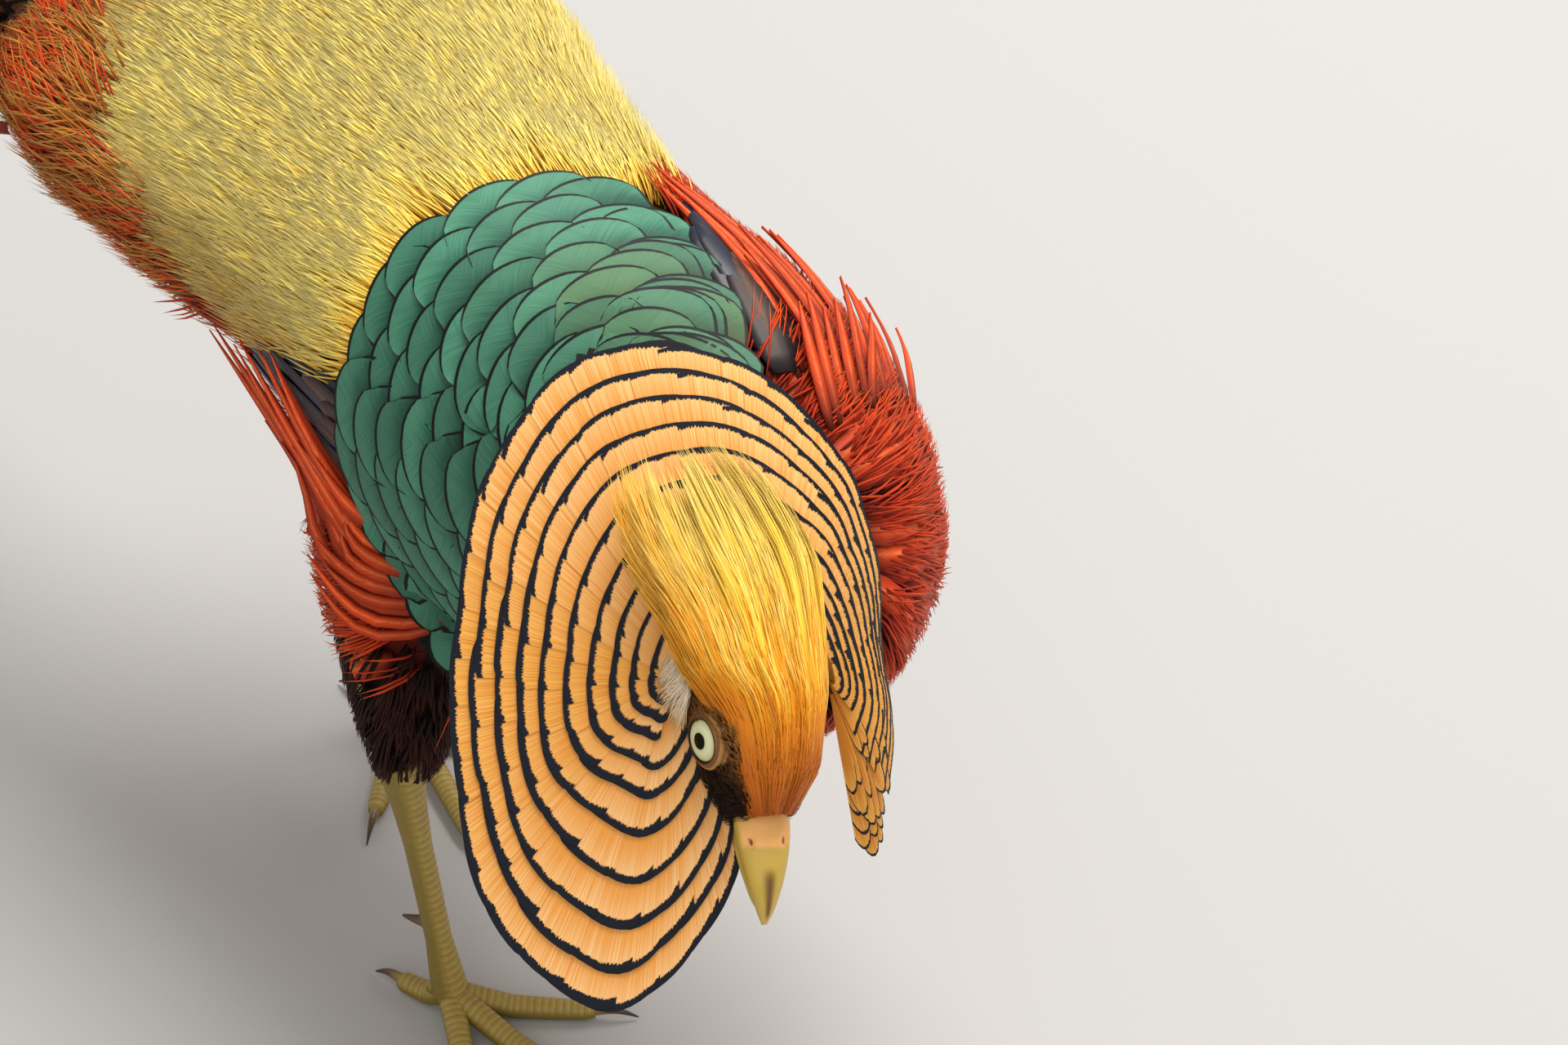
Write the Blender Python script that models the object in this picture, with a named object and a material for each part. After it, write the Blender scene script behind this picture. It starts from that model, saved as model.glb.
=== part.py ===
"""A golden pheasant cock in display, life size: head lowered and turned to its right, cape fanned.

The bird faces -Y, its right side is -X and up is +Z. All sizes are in metres.
"""

import math

import bmesh
import bpy
import numpy as np
from mathutils import Matrix, Vector

MM = 0.001
GAP = 0.3 * MM
# How far a sharp edge may move when a form is grown, against the margin
LONGEST_MITRE = 2.5

# Torso stations from the tail stump to the breast: y, centre x, centre z, half width, half height, roll
TORSO_STATIONS = (
    (0.152, 0.011, 0.186, 0.020, 0.013, 0.0),
    (0.128, 0.021, 0.186, 0.040, 0.024, 5.0),
    (0.098, 0.033, 0.184, 0.052, 0.035, 10.0),
    (0.062, 0.038, 0.179, 0.057, 0.046, 12.0),
    (0.020, 0.027, 0.173, 0.055, 0.055, 10.0),
    (-0.020, 0.020, 0.168, 0.055, 0.058, 6.0),
    (-0.060, 0.020, 0.164, 0.055, 0.057, 2.0),
    (-0.090, 0.021, 0.160, 0.050, 0.051, 0.0),
    (-0.112, 0.020, 0.157, 0.038, 0.039, 0.0),
    (-0.125, 0.019, 0.156, 0.022, 0.023, 0.0),
    (-0.130, 0.019, 0.156, 0.010, 0.011, 0.0),
)
TORSO_SQUARENESS = 2.1
TORSO_RINGS = 20
TORSO_SIDES = 26

# The head's frame: its centre lies between the eyes
HEAD_CENTRE = np.array((-0.0374, -0.1449, 0.1730))
HEAD_YAW = 38.0
HEAD_PITCH = -40.0
HEAD_ROLL = 14.0
# Head stations along its own axis: distance forward, centre height, half width, half height
HEAD_STATIONS = (
    (-25.0, 1.0, 4.0, 4.0),
    (-23.0, 1.0, 9.0, 9.5),
    (-18.0, 0.5, 13.0, 14.0),
    (-9.0, 0.0, 15.2, 16.4),
    (0.0, -0.3, 15.0, 16.4),
    (8.0, -1.2, 12.6, 14.0),
    (14.0, -2.4, 9.8, 10.8),
    (18.5, -3.3, 7.6, 8.4),
)
HEAD_SIDES = 18
HEAD_RINGS = 13
EYE_FORWARD, EYE_SIDE, EYE_UP = 0.5, 10.6, 2.2
EYEBALL_RADIUS = 6.0
LID_RADIUS, LID_THICKNESS = 5.3, 1.0

# Bill stations: distance forward from its root, centre height, half width, half height
BILL_ROOT = 18.8
UPPER_BILL = (
    (0.0, -0.6, 6.6, 3.9),
    (6.0, -0.6, 6.1, 3.6),
    (12.0, -1.1, 5.0, 3.1),
    (18.0, -2.2, 3.5, 2.5),
    (23.0, -3.9, 1.9, 1.9),
    (26.0, -5.4, 0.6, 0.9),
)
LOWER_BILL = (
    (0.0, -6.6, 5.9, 1.8),
    (7.0, -6.4, 5.2, 1.6),
    (14.0, -6.3, 3.9, 1.2),
    (20.5, -6.6, 2.0, 0.8),
    (22.6, -6.8, 0.8, 0.45),
)
NOSTRIL_FORWARD, NOSTRIL_SIDE, NOSTRIL_UP = 7.0, 5.4, 0.2
NOSTRIL_RADIUS, NOSTRIL_STRETCH = 1.0 * MM, 1.2

# The cape's fan faces up and to the bird's front right
FAN_CENTRE = np.array((-0.0452, -0.1246, 0.1841))
FAN_AZIMUTH, FAN_ELEVATION = -45.0, 42.0
# Yoke from the right ear over the nape to the left ear, in the fan's own axes, in millimetres
YOKE = ((0.0, 0.0, 0.0), (6.0, 12.0, 5.0), (16.0, 18.5, 5.0), (29.5, 15.0, -1.0), (36.0, 0.0, -11.0))
YOKE_THICKNESS = 3.6 * MM
# Cape stations round the fan: direction, place on the yoke, feather length, fall behind its plane
CAPE_STATIONS = (
    (289.0, 0.00, 49.0, 0.0),
    (278.0, 0.00, 61.0, 0.0),
    (259.0, 0.00, 80.0, 0.0),
    (235.0, 0.00, 70.0, 0.0),
    (213.0, 0.00, 59.0, 0.0),
    (180.0, 0.00, 51.0, 0.0),
    (150.0, 0.02, 52.0, 0.0),
    (131.0, 0.08, 58.0, 3.0),
    (112.0, 0.22, 68.0, 8.0),
    (93.0, 0.45, 59.0, 14.0),
    (74.0, 0.62, 50.0, 19.0),
    (58.0, 0.78, 40.0, 37.0),
    (30.0, 0.92, 30.0, 58.0),
    (-30.0, 1.00, 35.0, 66.0),
    (-72.0, 1.00, 57.0, 45.0),
)
# Where the right side of the cape ends and the left begins, as shares of its rim
CAPE_PARTING = (0.632, 0.65)
CAPE_THICKNESS = 0.6 * MM
# Rows of cape feathers: how far each row reaches along the fan, and its feathers round the whole rim
CAPE_REACHES = (1.0, 0.84, 0.67, 0.49, 0.32)
CAPE_COUNTS = (20, 16, 12, 9, 6)
CAPE_FILL = 0.95
CAPE_LOWEST, CAPE_TIER = -2.4, 1.2
CAPE_ROOT_HALF_WIDTH = 0.5 * MM
CAPE_HUB_START, CAPE_YOKE_START = 6.0 * MM, 2.4 * MM
# The fan's hub at the right ear: radius across the fan and through it
CAPE_HUB = (8.0 * MM, 4.0 * MM)

# Neck stations from the torso to the head, in the fan's axes and millimetres, and the radius
NECK_STATIONS = (
    (-3.0, 61.0, -74.0, 36.0),
    (7.0, 54.0, -53.0, 29.0),
    (13.0, 41.0, -34.0, 21.0),
    (16.0, 21.0, -20.0, 15.0),
    (18.0, 3.0, -8.0, 11.5),
)

# Crest over the crown in the head's frame: distance forward, shift to the right, half width, height
CREST_STATIONS = (
    (16.0, 0.0, 5.5, 8.6),
    (9.0, 0.0, 9.2, 14.4),
    (0.0, 0.0, 11.8, 18.6),
    (-12.0, 0.0, 13.0, 20.0),
    (-24.0, 1.0, 13.5, 19.6),
    (-36.0, 4.0, 14.0, 18.6),
    (-48.0, 9.0, 13.5, 17.2),
    (-60.0, 15.0, 11.5, 15.6),
    (-74.0, 22.0, 9.0, 13.0),
)
CREST_DEPTH = 4.0
CREST_CORE_END = -38.0
# Layers of crest locks: how many, height of the layer, and how far back their tips reach
CREST_LAYERS = ((7, -1.8, -72.0), (6, 0.0, -63.0), (5, 1.8, -53.0))

TAIL_BASE = np.array((0.011, 0.150, 0.1865))
TAIL_YAW, TAIL_DECLINE, TAIL_DROOP = 13.0, 6.0, 5.0
TAIL_LENGTH = 0.65
TAIL_THICKNESS = 0.9 * MM
# Pairs of tail feathers from the middle out: length, half width, splay in degrees
TAIL_PAIRS = (
    (0.650, 0.0190, 0.0),
    (0.590, 0.0170, 0.4),
    (0.490, 0.0165, 0.9),
    (0.400, 0.0160, 1.6),
    (0.320, 0.0150, 2.6),
    (0.260, 0.0140, 4.0),
    (0.215, 0.0130, 5.6),
    (0.185, 0.0120, 7.4),
    (0.160, 0.0110, 9.4),
)
TAIL_LEVEL = 1.35 * MM
# The stump that the tail feathers grow from: distance from the base, half width, half height
TAIL_STUMP = ((0.0, 0.0185, 0.0105), (0.02, 0.020, 0.011), (0.04, 0.019, 0.0095), (0.055, 0.014, 0.006))
# Long upper tail coverts: turn round the tail, length
COVERTS = (
    (10, 0.190),
    (-18, 0.200),
    (33, 0.180),
    (-41, 0.180),
    (57, 0.150),
    (-65, 0.160),
    (80, 0.120),
    (-86, 0.125),
)
COVERT_HALF_WIDTH = 0.0062

# The folded wing's body: y, turns of its edges from the ridge of the back, swell in millimetres
WING_PLATE = (
    (-0.080, 70, 92, 2.0),
    (-0.060, 56, 104, 4.6),
    (-0.035, 53, 106, 4.2),
    (-0.010, 55, 104, 2.2),
    (0.020, 58, 98, 0.8),
)
WING_THICKNESS = 0.6 * MM
# Each row of wing feathers: count, y and turns of the roots, y and turns of the tips, how far the tips
# bow out behind, half width, lift at root and tip, shingle tilt, bluntness
FLIGHT_ROW = (9, (-0.030, 60, 98), (0.088, 58, 90), 0.040, 3.9, (2.3, 3.1), 1.0, 0.35)
COVERT_ROW = (6, (-0.052, 60, 101), (0.002, 58, 102), 0.006, 4.8, (4.2, 5.9), 0.6, 0.5)

THIGHS = {
    "right": ((-0.010, -0.004, 0.130), (-0.031, -0.018, 0.100), (-0.0400, -0.0240, 0.0800)),
    "left": ((0.050, 0.030, 0.130), (0.042, 0.052, 0.100), (0.0350, 0.0640, 0.0800)),
}
THIGH_RADII = (0.030, 0.0155, 0.0066)
FEET = {"right": (-0.0350, -0.0320), "left": (0.0290, 0.0540)}
TOE_LENGTHS = {"inner": 0.037, "middle": 0.050, "outer": 0.040, "hind": 0.016}
TOE_DIRECTIONS = {
    "right": {"inner": 312.0, "middle": 275.0, "outer": 237.0, "hind": 100.0},
    "left": {"inner": 215.0, "middle": 248.0, "outer": 284.0, "hind": 95.0},
}
CLAW_LENGTHS = (0.011, 0.008)
TARSUS_RADIUS = 0.0037
# Tarsus stations: share of its length, size against its radius
TARSUS_STATIONS = ((0.0, 1.45), (0.1, 1.2), (0.3, 0.95), (0.75, 0.9), (0.92, 1.15), (1.0, 1.25))
TOE_RADIUS = 0.0030
# Toe stations: share of the toe, share of the claw, height of its middle, size against its radius
TOE_STATIONS = (
    (-0.10, 0.0, 0.0085, 1.20),
    (0.16, 0.0, 0.0055, 1.05),
    (0.42, 0.0, 0.0026, 1.00),
    (0.70, 0.0, 0.0023, 0.92),
    (0.93, 0.0, 0.0022, 0.86),
    (1.00, 0.0, 0.0028, 0.62),
    (1.00, 0.55, 0.0018, 0.42),
    (1.00, 1.0, 0.0006, 0.16),
)
SPUR_SHARE, SPUR_RADII = 0.68, (0.0022, 0.0014, 0.0004)
FOOT_JOINT_HEIGHT = 0.0085

COLOURS = {
    "scarlet": (0.62, 0.07, 0.02),
    "gold": (0.86, 0.62, 0.08),
    "cape": (0.90, 0.48, 0.12),
    "face": (0.42, 0.20, 0.06),
    "horn": (0.72, 0.60, 0.20),
    "iris": (0.78, 0.80, 0.48),
    "wing": (0.16, 0.07, 0.04),
    "thigh": (0.20, 0.04, 0.02),
    "leg": (0.60, 0.48, 0.16),
    "tail": (0.20, 0.11, 0.05),
}


def finish(name):
    """The plain material of one kind of plumage or skin."""
    made = bpy.data.materials.get(name)
    if made is None:
        made = bpy.data.materials.new(name)
        made.use_nodes = True
        shader = made.node_tree.nodes["Principled BSDF"]
        shader.inputs["Base Color"].default_value = (*COLOURS[name], 1.0)
        shader.inputs["Roughness"].default_value = 0.6
        shader.inputs["Metallic"].default_value = 0.0
    return made


def unit(vector):
    return np.asarray(vector, float) / np.linalg.norm(vector)


def head_axes():
    """Forward, right and up of the head."""
    yaw, pitch, roll = (math.radians(a) for a in (HEAD_YAW, HEAD_PITCH, HEAD_ROLL))
    level = np.array((-math.sin(yaw), -math.cos(yaw), 0.0))
    forward = level * math.cos(pitch) + np.array((0, 0, math.sin(pitch)))
    right = unit(np.cross(forward, (0, 0, 1)))
    up = np.cross(right, forward)
    leaning_right = right * math.cos(roll) + up * math.sin(roll)
    leaning_up = up * math.cos(roll) - right * math.sin(roll)
    return forward, leaning_right, leaning_up


def fan_axes():
    """Across, up and outward of the cape's fan."""
    azimuth, elevation = math.radians(FAN_AZIMUTH), math.radians(FAN_ELEVATION)
    outward = np.array(
        (
            math.sin(azimuth) * math.cos(elevation),
            -math.cos(azimuth) * math.cos(elevation),
            math.sin(elevation),
        )
    )
    across = np.array((math.cos(azimuth), math.sin(azimuth), 0.0))
    return across, np.cross(outward, across), outward


HEAD_FORWARD, HEAD_RIGHT, HEAD_UP = head_axes()
FAN_ACROSS, FAN_UP, FAN_OUT = fan_axes()


def in_head(forward, right, up):
    """A point of the head's frame, given in millimetres."""
    return HEAD_CENTRE + MM * (forward * HEAD_FORWARD + right * HEAD_RIGHT + up * HEAD_UP)


def eased(rows, count):
    """The rows of a table resampled to a smooth run of count rows."""
    table = np.array(rows, float)
    steps = np.r_[0, np.cumsum(np.linalg.norm(np.diff(table[:, :3], axis=0), axis=1))]
    at = np.linspace(0, steps[-1], count)
    slopes = np.gradient(table, steps, axis=0)
    k = np.clip(np.searchsorted(steps, at, side="right") - 1, 0, len(steps) - 2)
    span = (steps[k + 1] - steps[k])[:, None]
    t = ((at - steps[k])[:, None]) / span
    return (
        (2 * t**3 - 3 * t**2 + 1) * table[k]
        + (t**3 - 2 * t**2 + t) * span * slopes[k]
        + (3 * t**2 - 2 * t**3) * table[k + 1]
        + (t**3 - t**2) * span * slopes[k + 1]
    )


def round_section(centre, across, up, half_width, half_height, sides, squareness=2.0):
    """One ring of a loft, a superellipse seen along its axis."""
    angle = np.linspace(0, 2 * np.pi, sides, endpoint=False)
    x, y = np.cos(angle), np.sin(angle)
    power = 2 / squareness
    x, y = np.sign(x) * abs(x) ** power, np.sign(y) * abs(y) ** power
    return np.asarray(centre) + np.outer(half_width * x, across) + np.outer(half_height * y, up)


def add_mesh(name, points, faces, colour):
    """A closed mesh object with its faces turned out."""
    mesh = bpy.data.meshes.new(name)
    mesh.from_pydata([tuple(p) for p in points], [], [tuple(f) for f in faces])
    body = bmesh.new()
    body.from_mesh(mesh)
    bmesh.ops.recalc_face_normals(body, faces=body.faces)
    if body.calc_volume(signed=True) < 0:
        bmesh.ops.reverse_faces(body, faces=body.faces)
    body.to_mesh(mesh)
    body.free()
    mesh.materials.append(finish(colour))
    made = bpy.data.objects.new(name, mesh)
    PARTS.objects.link(made)
    return made


def loft(name, rings, colour, smooth=True):
    """A closed skin over rings of equal point count, with a flat cap at each end."""
    sides = len(rings[0])
    faces = []
    for i in range(len(rings) - 1):
        for j in range(sides):
            a, b = i * sides + j, i * sides + (j + 1) % sides
            faces.append((a, b, b + sides, a + sides))
    faces.append(tuple(range(sides)))
    faces.append(tuple(range((len(rings) - 1) * sides, len(rings) * sides)))
    made = add_mesh(name, np.concatenate(rings), faces, colour)
    if smooth:
        made.data.shade_smooth()
    return made


def vane(name, centres, sides, normals, half_widths, thickness, colour, tilt=0.0, arch=0.0):
    """One feather: a thin blade along its stations, tilted like a shingle or arched across its shaft."""
    centres, sides, normals = (np.asarray(a, float) for a in (centres, sides, normals))
    half_widths = np.asarray(half_widths, float)
    columns = (-1.0, 0.0, 1.0) if arch else (-1.0, 1.0)
    count = len(centres)
    tilts, arches = tilt * np.ones(count), arch * half_widths / half_widths.max()
    thick = thickness * np.linspace(1.0, 0.6, count)
    rings = []
    for c, s, n, h, t, a, d in zip(centres, sides, normals, half_widths, tilts, arches, thick):
        face = [c + s * h * u + n * (t * u + a * (1 - u * u)) for u in columns]
        rings.append(np.array([p + n * d / 2 for p in face] + [p - n * d / 2 for p in face[::-1]]))
    size = 2 * len(columns)
    faces = []
    for i in range(count - 1):
        low, high = i * size, (i + 1) * size
        for j in range(size):
            k = (j + 1) % size
            if j < len(columns):
                faces += [(low + j, low + k, high + k), (low + j, high + k, high + j)]
            else:
                faces += [(low + j, low + k, high + j), (low + k, high + k, high + j)]
    last = (count - 1) * size
    for j in range(len(columns) - 1):
        a, b = j, j + 1
        c, d = size - 2 - j, size - 1 - j
        faces += [(a, b, c), (a, c, d), (last + a, last + b, last + c), (last + a, last + c, last + d)]
    return add_mesh(name, np.concatenate(rings), faces, colour)


def applied(target, modifier_setup):
    """Gives target a Boolean, reads the result and puts it in the object's own mesh."""
    modifier = target.modifiers.new("joint", "BOOLEAN")
    modifier_setup(modifier)
    graph = bpy.context.evaluated_depsgraph_get()
    made = bpy.data.meshes.new_from_object(target.evaluated_get(graph))
    target.modifiers.remove(modifier)
    target.data = made
    return target


def keep_largest(target):
    """Drops every closed surface of the mesh but the largest, following faces across their edges."""
    body = bmesh.new()
    body.from_mesh(target.data)
    left, groups = set(body.faces), []
    while left:
        front = [left.pop()]
        group = set(front)
        while front:
            for edge in front.pop().edges:
                for face in edge.link_faces:
                    if face in left:
                        left.discard(face)
                        group.add(face)
                        front.append(face)
        groups.append(group)
    largest = max(groups, key=len)
    bmesh.ops.delete(body, geom=[f for f in body.faces if f not in largest], context="FACES")
    body.to_mesh(target.data)
    body.free()
    return target


def fuse(core, pieces, solver="MANIFOLD"):
    """Joins the pieces to the core as one closed body."""
    group = bpy.data.collections.new(core.name + " pieces")
    for piece in pieces:
        PARTS.objects.unlink(piece)
        group.objects.link(piece)

    def setup(modifier):
        modifier.operation, modifier.operand_type = "UNION", "COLLECTION"
        modifier.collection, modifier.solver = group, solver

    applied(core, setup)
    for piece in pieces:
        bpy.data.objects.remove(piece)
    bpy.data.collections.remove(group)
    return keep_largest(core)


def swollen(source, margin):
    """A copy of the object grown along its normals, as a cutter."""
    mesh = WHOLE.get(source.name, source.data).copy()
    body = bmesh.new()
    body.from_mesh(mesh)
    body.normal_update()
    moves = [v.normal * margin * min(v.calc_shell_factor(), LONGEST_MITRE) for v in body.verts]
    for vert, move in zip(body.verts, moves):
        vert.co += move
    body.to_mesh(mesh)
    body.free()
    made = bpy.data.objects.new(source.name + " cutter", mesh)
    CUTTERS.objects.link(made)
    return made


def cut(target, cutter, solver="MANIFOLD"):
    def setup(modifier):
        modifier.operation, modifier.object, modifier.solver = "DIFFERENCE", cutter, solver

    applied(target, setup)
    bpy.data.objects.remove(cutter)
    return keep_largest(target)


def cut_clear(target, *neighbours, margin=GAP):
    """Trims the target so that it meets each neighbour face to face with a small gap."""
    for neighbour in neighbours:
        cut(target, swollen(neighbour, margin))
    return target


def torso():
    rings = []
    for y, x, z, a, b, roll in eased(TORSO_STATIONS, TORSO_RINGS):
        across, up = rolled(roll)
        rings.append(round_section((x, y, z), across, up, a, b, TORSO_SIDES, TORSO_SQUARENESS))
    return loft("torso", rings, "scarlet")


def rolled(degrees):
    """Across and up of a body section that leans to the bird's right."""
    angle = math.radians(degrees)
    across = np.array((math.cos(angle), 0, math.sin(angle)))
    return across, np.array((-math.sin(angle), 0, math.cos(angle)))


def torso_point(y, around, lift=0.0):
    """A point over the torso and the way out of it. Around is 0 on the back and 90 on the bird's left."""
    table = eased(TORSO_STATIONS, 4 * TORSO_RINGS)[::-1]
    x, z, a, b, roll = (np.interp(y, table[:, 0], table[:, k]) for k in range(1, 6))
    across, up = rolled(roll)
    angle = math.radians(around)
    power = 2 / TORSO_SQUARENESS
    s, c = math.sin(angle), math.cos(angle)
    sx, cz = math.copysign(abs(s) ** power, s), math.copysign(abs(c) ** power, c)
    steep = TORSO_SQUARENESS - 1
    slope_x, slope_z = (math.copysign(abs(v) ** steep, v) for v in (sx, cz))
    out = unit(across * slope_x / a + up * slope_z / b)
    return np.array((x, y, z)) + across * a * sx + up * b * cz + lift * out, out


def neck():
    table = eased(NECK_STATIONS, 9)
    path = np.array([in_fan(*row[:3]) for row in table])
    rings = []
    for point, radius, along in zip(path, table[:, 3], np.gradient(path, axis=0)):
        along = unit(along)
        across = unit(np.cross(along, (0, 0, 1)))
        rings.append(round_section(point, across, np.cross(across, along), radius * MM, radius * MM, 18))
    return loft("neck", rings, "cape")


def head():
    rings = [
        round_section(in_head(f, 0, u), HEAD_RIGHT, HEAD_UP, a * MM, b * MM, HEAD_SIDES)
        for f, u, a, b in eased(HEAD_STATIONS, HEAD_RINGS)
    ]
    return loft("head", rings, "face")


def eye_axis(side):
    """The way that an eye looks: to its side, a little forward and up."""
    return unit(side * HEAD_RIGHT * 0.93 + HEAD_FORWARD * 0.22 + HEAD_UP * 0.28)


def adopted(name, colour, keeper=None):
    """The primitive just added, named and coloured, with its place put in its mesh."""
    made = bpy.context.object
    made.name = name
    for group in made.users_collection:
        group.objects.unlink(made)
    (keeper or PARTS).objects.link(made)
    bpy.context.view_layer.update()
    made.data.transform(made.matrix_world)
    made.matrix_world.identity()
    made.data.materials.append(finish(colour))
    made.data.shade_smooth()
    return made


def ball(name, centre, radius, colour, segments=16, rings=10, keeper=None):
    bpy.ops.mesh.primitive_uv_sphere_add(
        segments=segments, ring_count=rings, radius=radius, location=tuple(centre)
    )
    return adopted(name, colour, keeper)


def lid(name, centre, axis):
    """A raised ring of skin round the eye."""
    bpy.ops.mesh.primitive_torus_add(
        major_radius=LID_RADIUS * MM,
        minor_radius=LID_THICKNESS * MM,
        major_segments=14,
        minor_segments=6,
    )
    made = adopted(name, "face")
    turn = Vector(axis).to_track_quat("Z", "Y").to_matrix().to_4x4()
    made.data.transform(Matrix.Translation(tuple(centre)) @ turn)
    return made


def eyes_and_lids(skull):
    """Eyeballs in their sockets, each under a raised lid on the head."""
    lids, balls = [], []
    for word, side in (("right", 1), ("left", -1)):
        axis = eye_axis(side)
        centre = in_head(EYE_FORWARD, side * EYE_SIDE, EYE_UP)
        rim = centre + axis * MM * math.sqrt(EYEBALL_RADIUS**2 - LID_RADIUS**2) * 1.15
        lids.append(lid("lid " + word, rim, axis))
        balls.append(ball("eye_" + word, centre, EYEBALL_RADIUS * MM, "iris"))
    fuse(skull, lids)
    for eye in balls:
        cut(skull, swollen(eye, GAP))


def eye_room(side):
    """A cutter that keeps feathers off an eye and its lid."""
    centre = in_head(EYE_FORWARD, side * EYE_SIDE, EYE_UP)
    return ball("eye room", centre, (EYEBALL_RADIUS + 1.6 * LID_THICKNESS) * MM, "face", keeper=CUTTERS)


def bill_ring(f, u, a, b, sides=12):
    centre = in_head(BILL_ROOT + f, 0, u - 3.3)
    return round_section(centre, HEAD_RIGHT, HEAD_UP, a * MM, b * MM, sides, 2.2)


def nostril(side):
    """A cutter for one nostril, a slit along the side of the upper mandible."""
    place = in_head(BILL_ROOT + NOSTRIL_FORWARD, side * NOSTRIL_SIDE, NOSTRIL_UP)
    slit = ball("nostril", place, NOSTRIL_RADIUS, "horn", 10, 6, CUTTERS)
    points = np.array([tuple(v.co) for v in slit.data.vertices])
    stretch = (points - points.mean(0)) @ HEAD_FORWARD
    points = points + np.outer(stretch * NOSTRIL_STRETCH, HEAD_FORWARD)
    slit.data.vertices.foreach_set("co", points.ravel())
    return slit


def bill():
    """Upper and lower mandibles, whose gap is the line of the mouth, and the nostrils."""
    upper_rings = [bill_ring(f, u + 2.0, a, b) for f, u, a, b in eased(UPPER_BILL, 10)]
    lower_rings = [bill_ring(f, u + 2.6, a, b) for f, u, a, b in eased(LOWER_BILL, 8)]
    upper = loft("bill_upper", upper_rings, "horn")
    lower = loft("bill_lower", lower_rings, "horn")
    cut_clear(lower, upper)
    for side in (1, -1):
        cut(upper, nostril(side))
    return upper, lower


def in_fan(across, up, out):
    """A point of the cape's fan, given in millimetres."""
    return FAN_CENTRE + MM * (across * FAN_ACROSS + up * FAN_UP + out * FAN_OUT)


def yoke_point(share):
    """The line that the cape grows from: over the nape, from the right ear to the left."""
    fine = eased([(*point, 0.0) for point in YOKE], 41)[:, :3]
    return in_fan(*(np.interp(share, np.linspace(0, 1, 41), fine[:, k]) for k in range(3)))


def cape_stations():
    """The stations with their place along the cape's rim, from 0 to 1."""
    table = np.array(CAPE_STATIONS)
    tips = np.array([cape_line(row, [1.0])[0][0] for row in table])
    along = np.r_[0, np.cumsum(np.linalg.norm(np.diff(tips, axis=0), axis=1))]
    return along, table


def cape_line(row, shares, lift=0.0):
    """Points and outward normals along one feather's line, at shares of its length."""
    direction, share, length, fall = row
    heading = FAN_ACROSS * math.cos(math.radians(direction)) + FAN_UP * math.sin(math.radians(direction))
    root = yoke_point(share)
    fine = np.linspace(0, 1, 25)
    slope = np.radians(fall * (0.6 + 0.6 * fine))
    run = np.r_[0, np.cumsum(np.cos((slope[1:] + slope[:-1]) / 2))] / 24
    drop = np.r_[0, np.cumsum(np.sin((slope[1:] + slope[:-1]) / 2))] / 24
    run, drop, slope = (np.interp(shares, fine, v) for v in (run, drop, slope))
    points = root + length * MM * (np.outer(run, heading) - np.outer(drop, FAN_OUT))
    normals = np.outer(np.cos(slope), FAN_OUT) + np.outer(np.sin(slope), heading)
    return points + normals * lift, normals


def cape_row(along, table, share):
    """The cape's station at a share of its rim."""
    return [np.interp(share * along[-1], along, table[:, k]) for k in range(4)]


def cape_vane(along, table, share, half_share, reach, lift):
    """One cape feather: a strip between two lines of the fan with a blunt, rounded tip."""
    middle = cape_row(along, table, share)
    start = (CAPE_HUB_START if middle[1] < 0.03 else CAPE_YOKE_START) / (middle[2] * MM)
    shares = start + (reach - start) * np.array((0.0, 0.5, 0.88, 1.0))
    centre, normals = cape_line(middle, shares, lift)
    edges = [cape_line(cape_row(along, table, share + k * half_share), shares, lift)[0] for k in (-1, 1)]
    tangents = np.gradient(centre, axis=0)
    sides = np.array([unit(np.cross(n, t)) for n, t in zip(normals, tangents)])
    widths = np.maximum(np.linalg.norm(edges[1] - edges[0], axis=1) / 2, CAPE_ROOT_HALF_WIDTH)
    widths = widths * (1.0, 1.0, 0.97, 0.55)
    return vane("cape feather", centre, sides, normals, widths, CAPE_THICKNESS, "cape")


def flat_ball(name, centre, axis, across_radius, axis_radius, segments, rings, colour):
    """A ball flattened along an axis."""
    made = ball(name, (0, 0, 0), across_radius, colour, segments, rings)
    turn = Vector(axis).to_track_quat("Z", "Y").to_matrix().to_4x4()
    squash = Matrix.Diagonal((1, 1, axis_radius / across_radius, 1))
    made.data.transform(Matrix.Translation(tuple(centre)) @ turn @ squash)
    return made


def cape_side(name, first, last):
    """One side of the cape: rows of blunt feathers, each row shorter and lying over the one before."""
    along, table = cape_stations()
    ends = [cape_row(along, table, share)[1] for share in (first, last)]
    yoke = np.linspace(ends[0] + (0.004 if first else 0.0), ends[1] - (0.02 if last < 1 else 0.0), 6)
    core = limb(name, [yoke_point(share) for share in yoke], [YOKE_THICKNESS] * 6, 8, "cape")
    pieces = []
    if not first:
        pieces.append(flat_ball("hub", yoke_point(0.0), FAN_OUT, *CAPE_HUB, 18, 8, "cape"))
    for level, (reach, count) in enumerate(zip(CAPE_REACHES, CAPE_COUNTS)):
        number = max(2, round(count * (last - first)))
        cell = (last - first) / number
        lift = (CAPE_LOWEST + CAPE_TIER * level) * MM
        for k in range(number):
            share = first + (k + 0.5) * cell
            pieces.append(cape_vane(along, table, share, cell * CAPE_FILL / 2, reach, lift))
    return fuse(core, pieces)


def crest_frame(forward):
    """Shift, half width and height of the crest at a distance along the head."""
    table = np.array(CREST_STATIONS)[::-1]
    return [np.interp(forward, table[:, 0], table[:, k]) for k in (1, 2, 3)]


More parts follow.
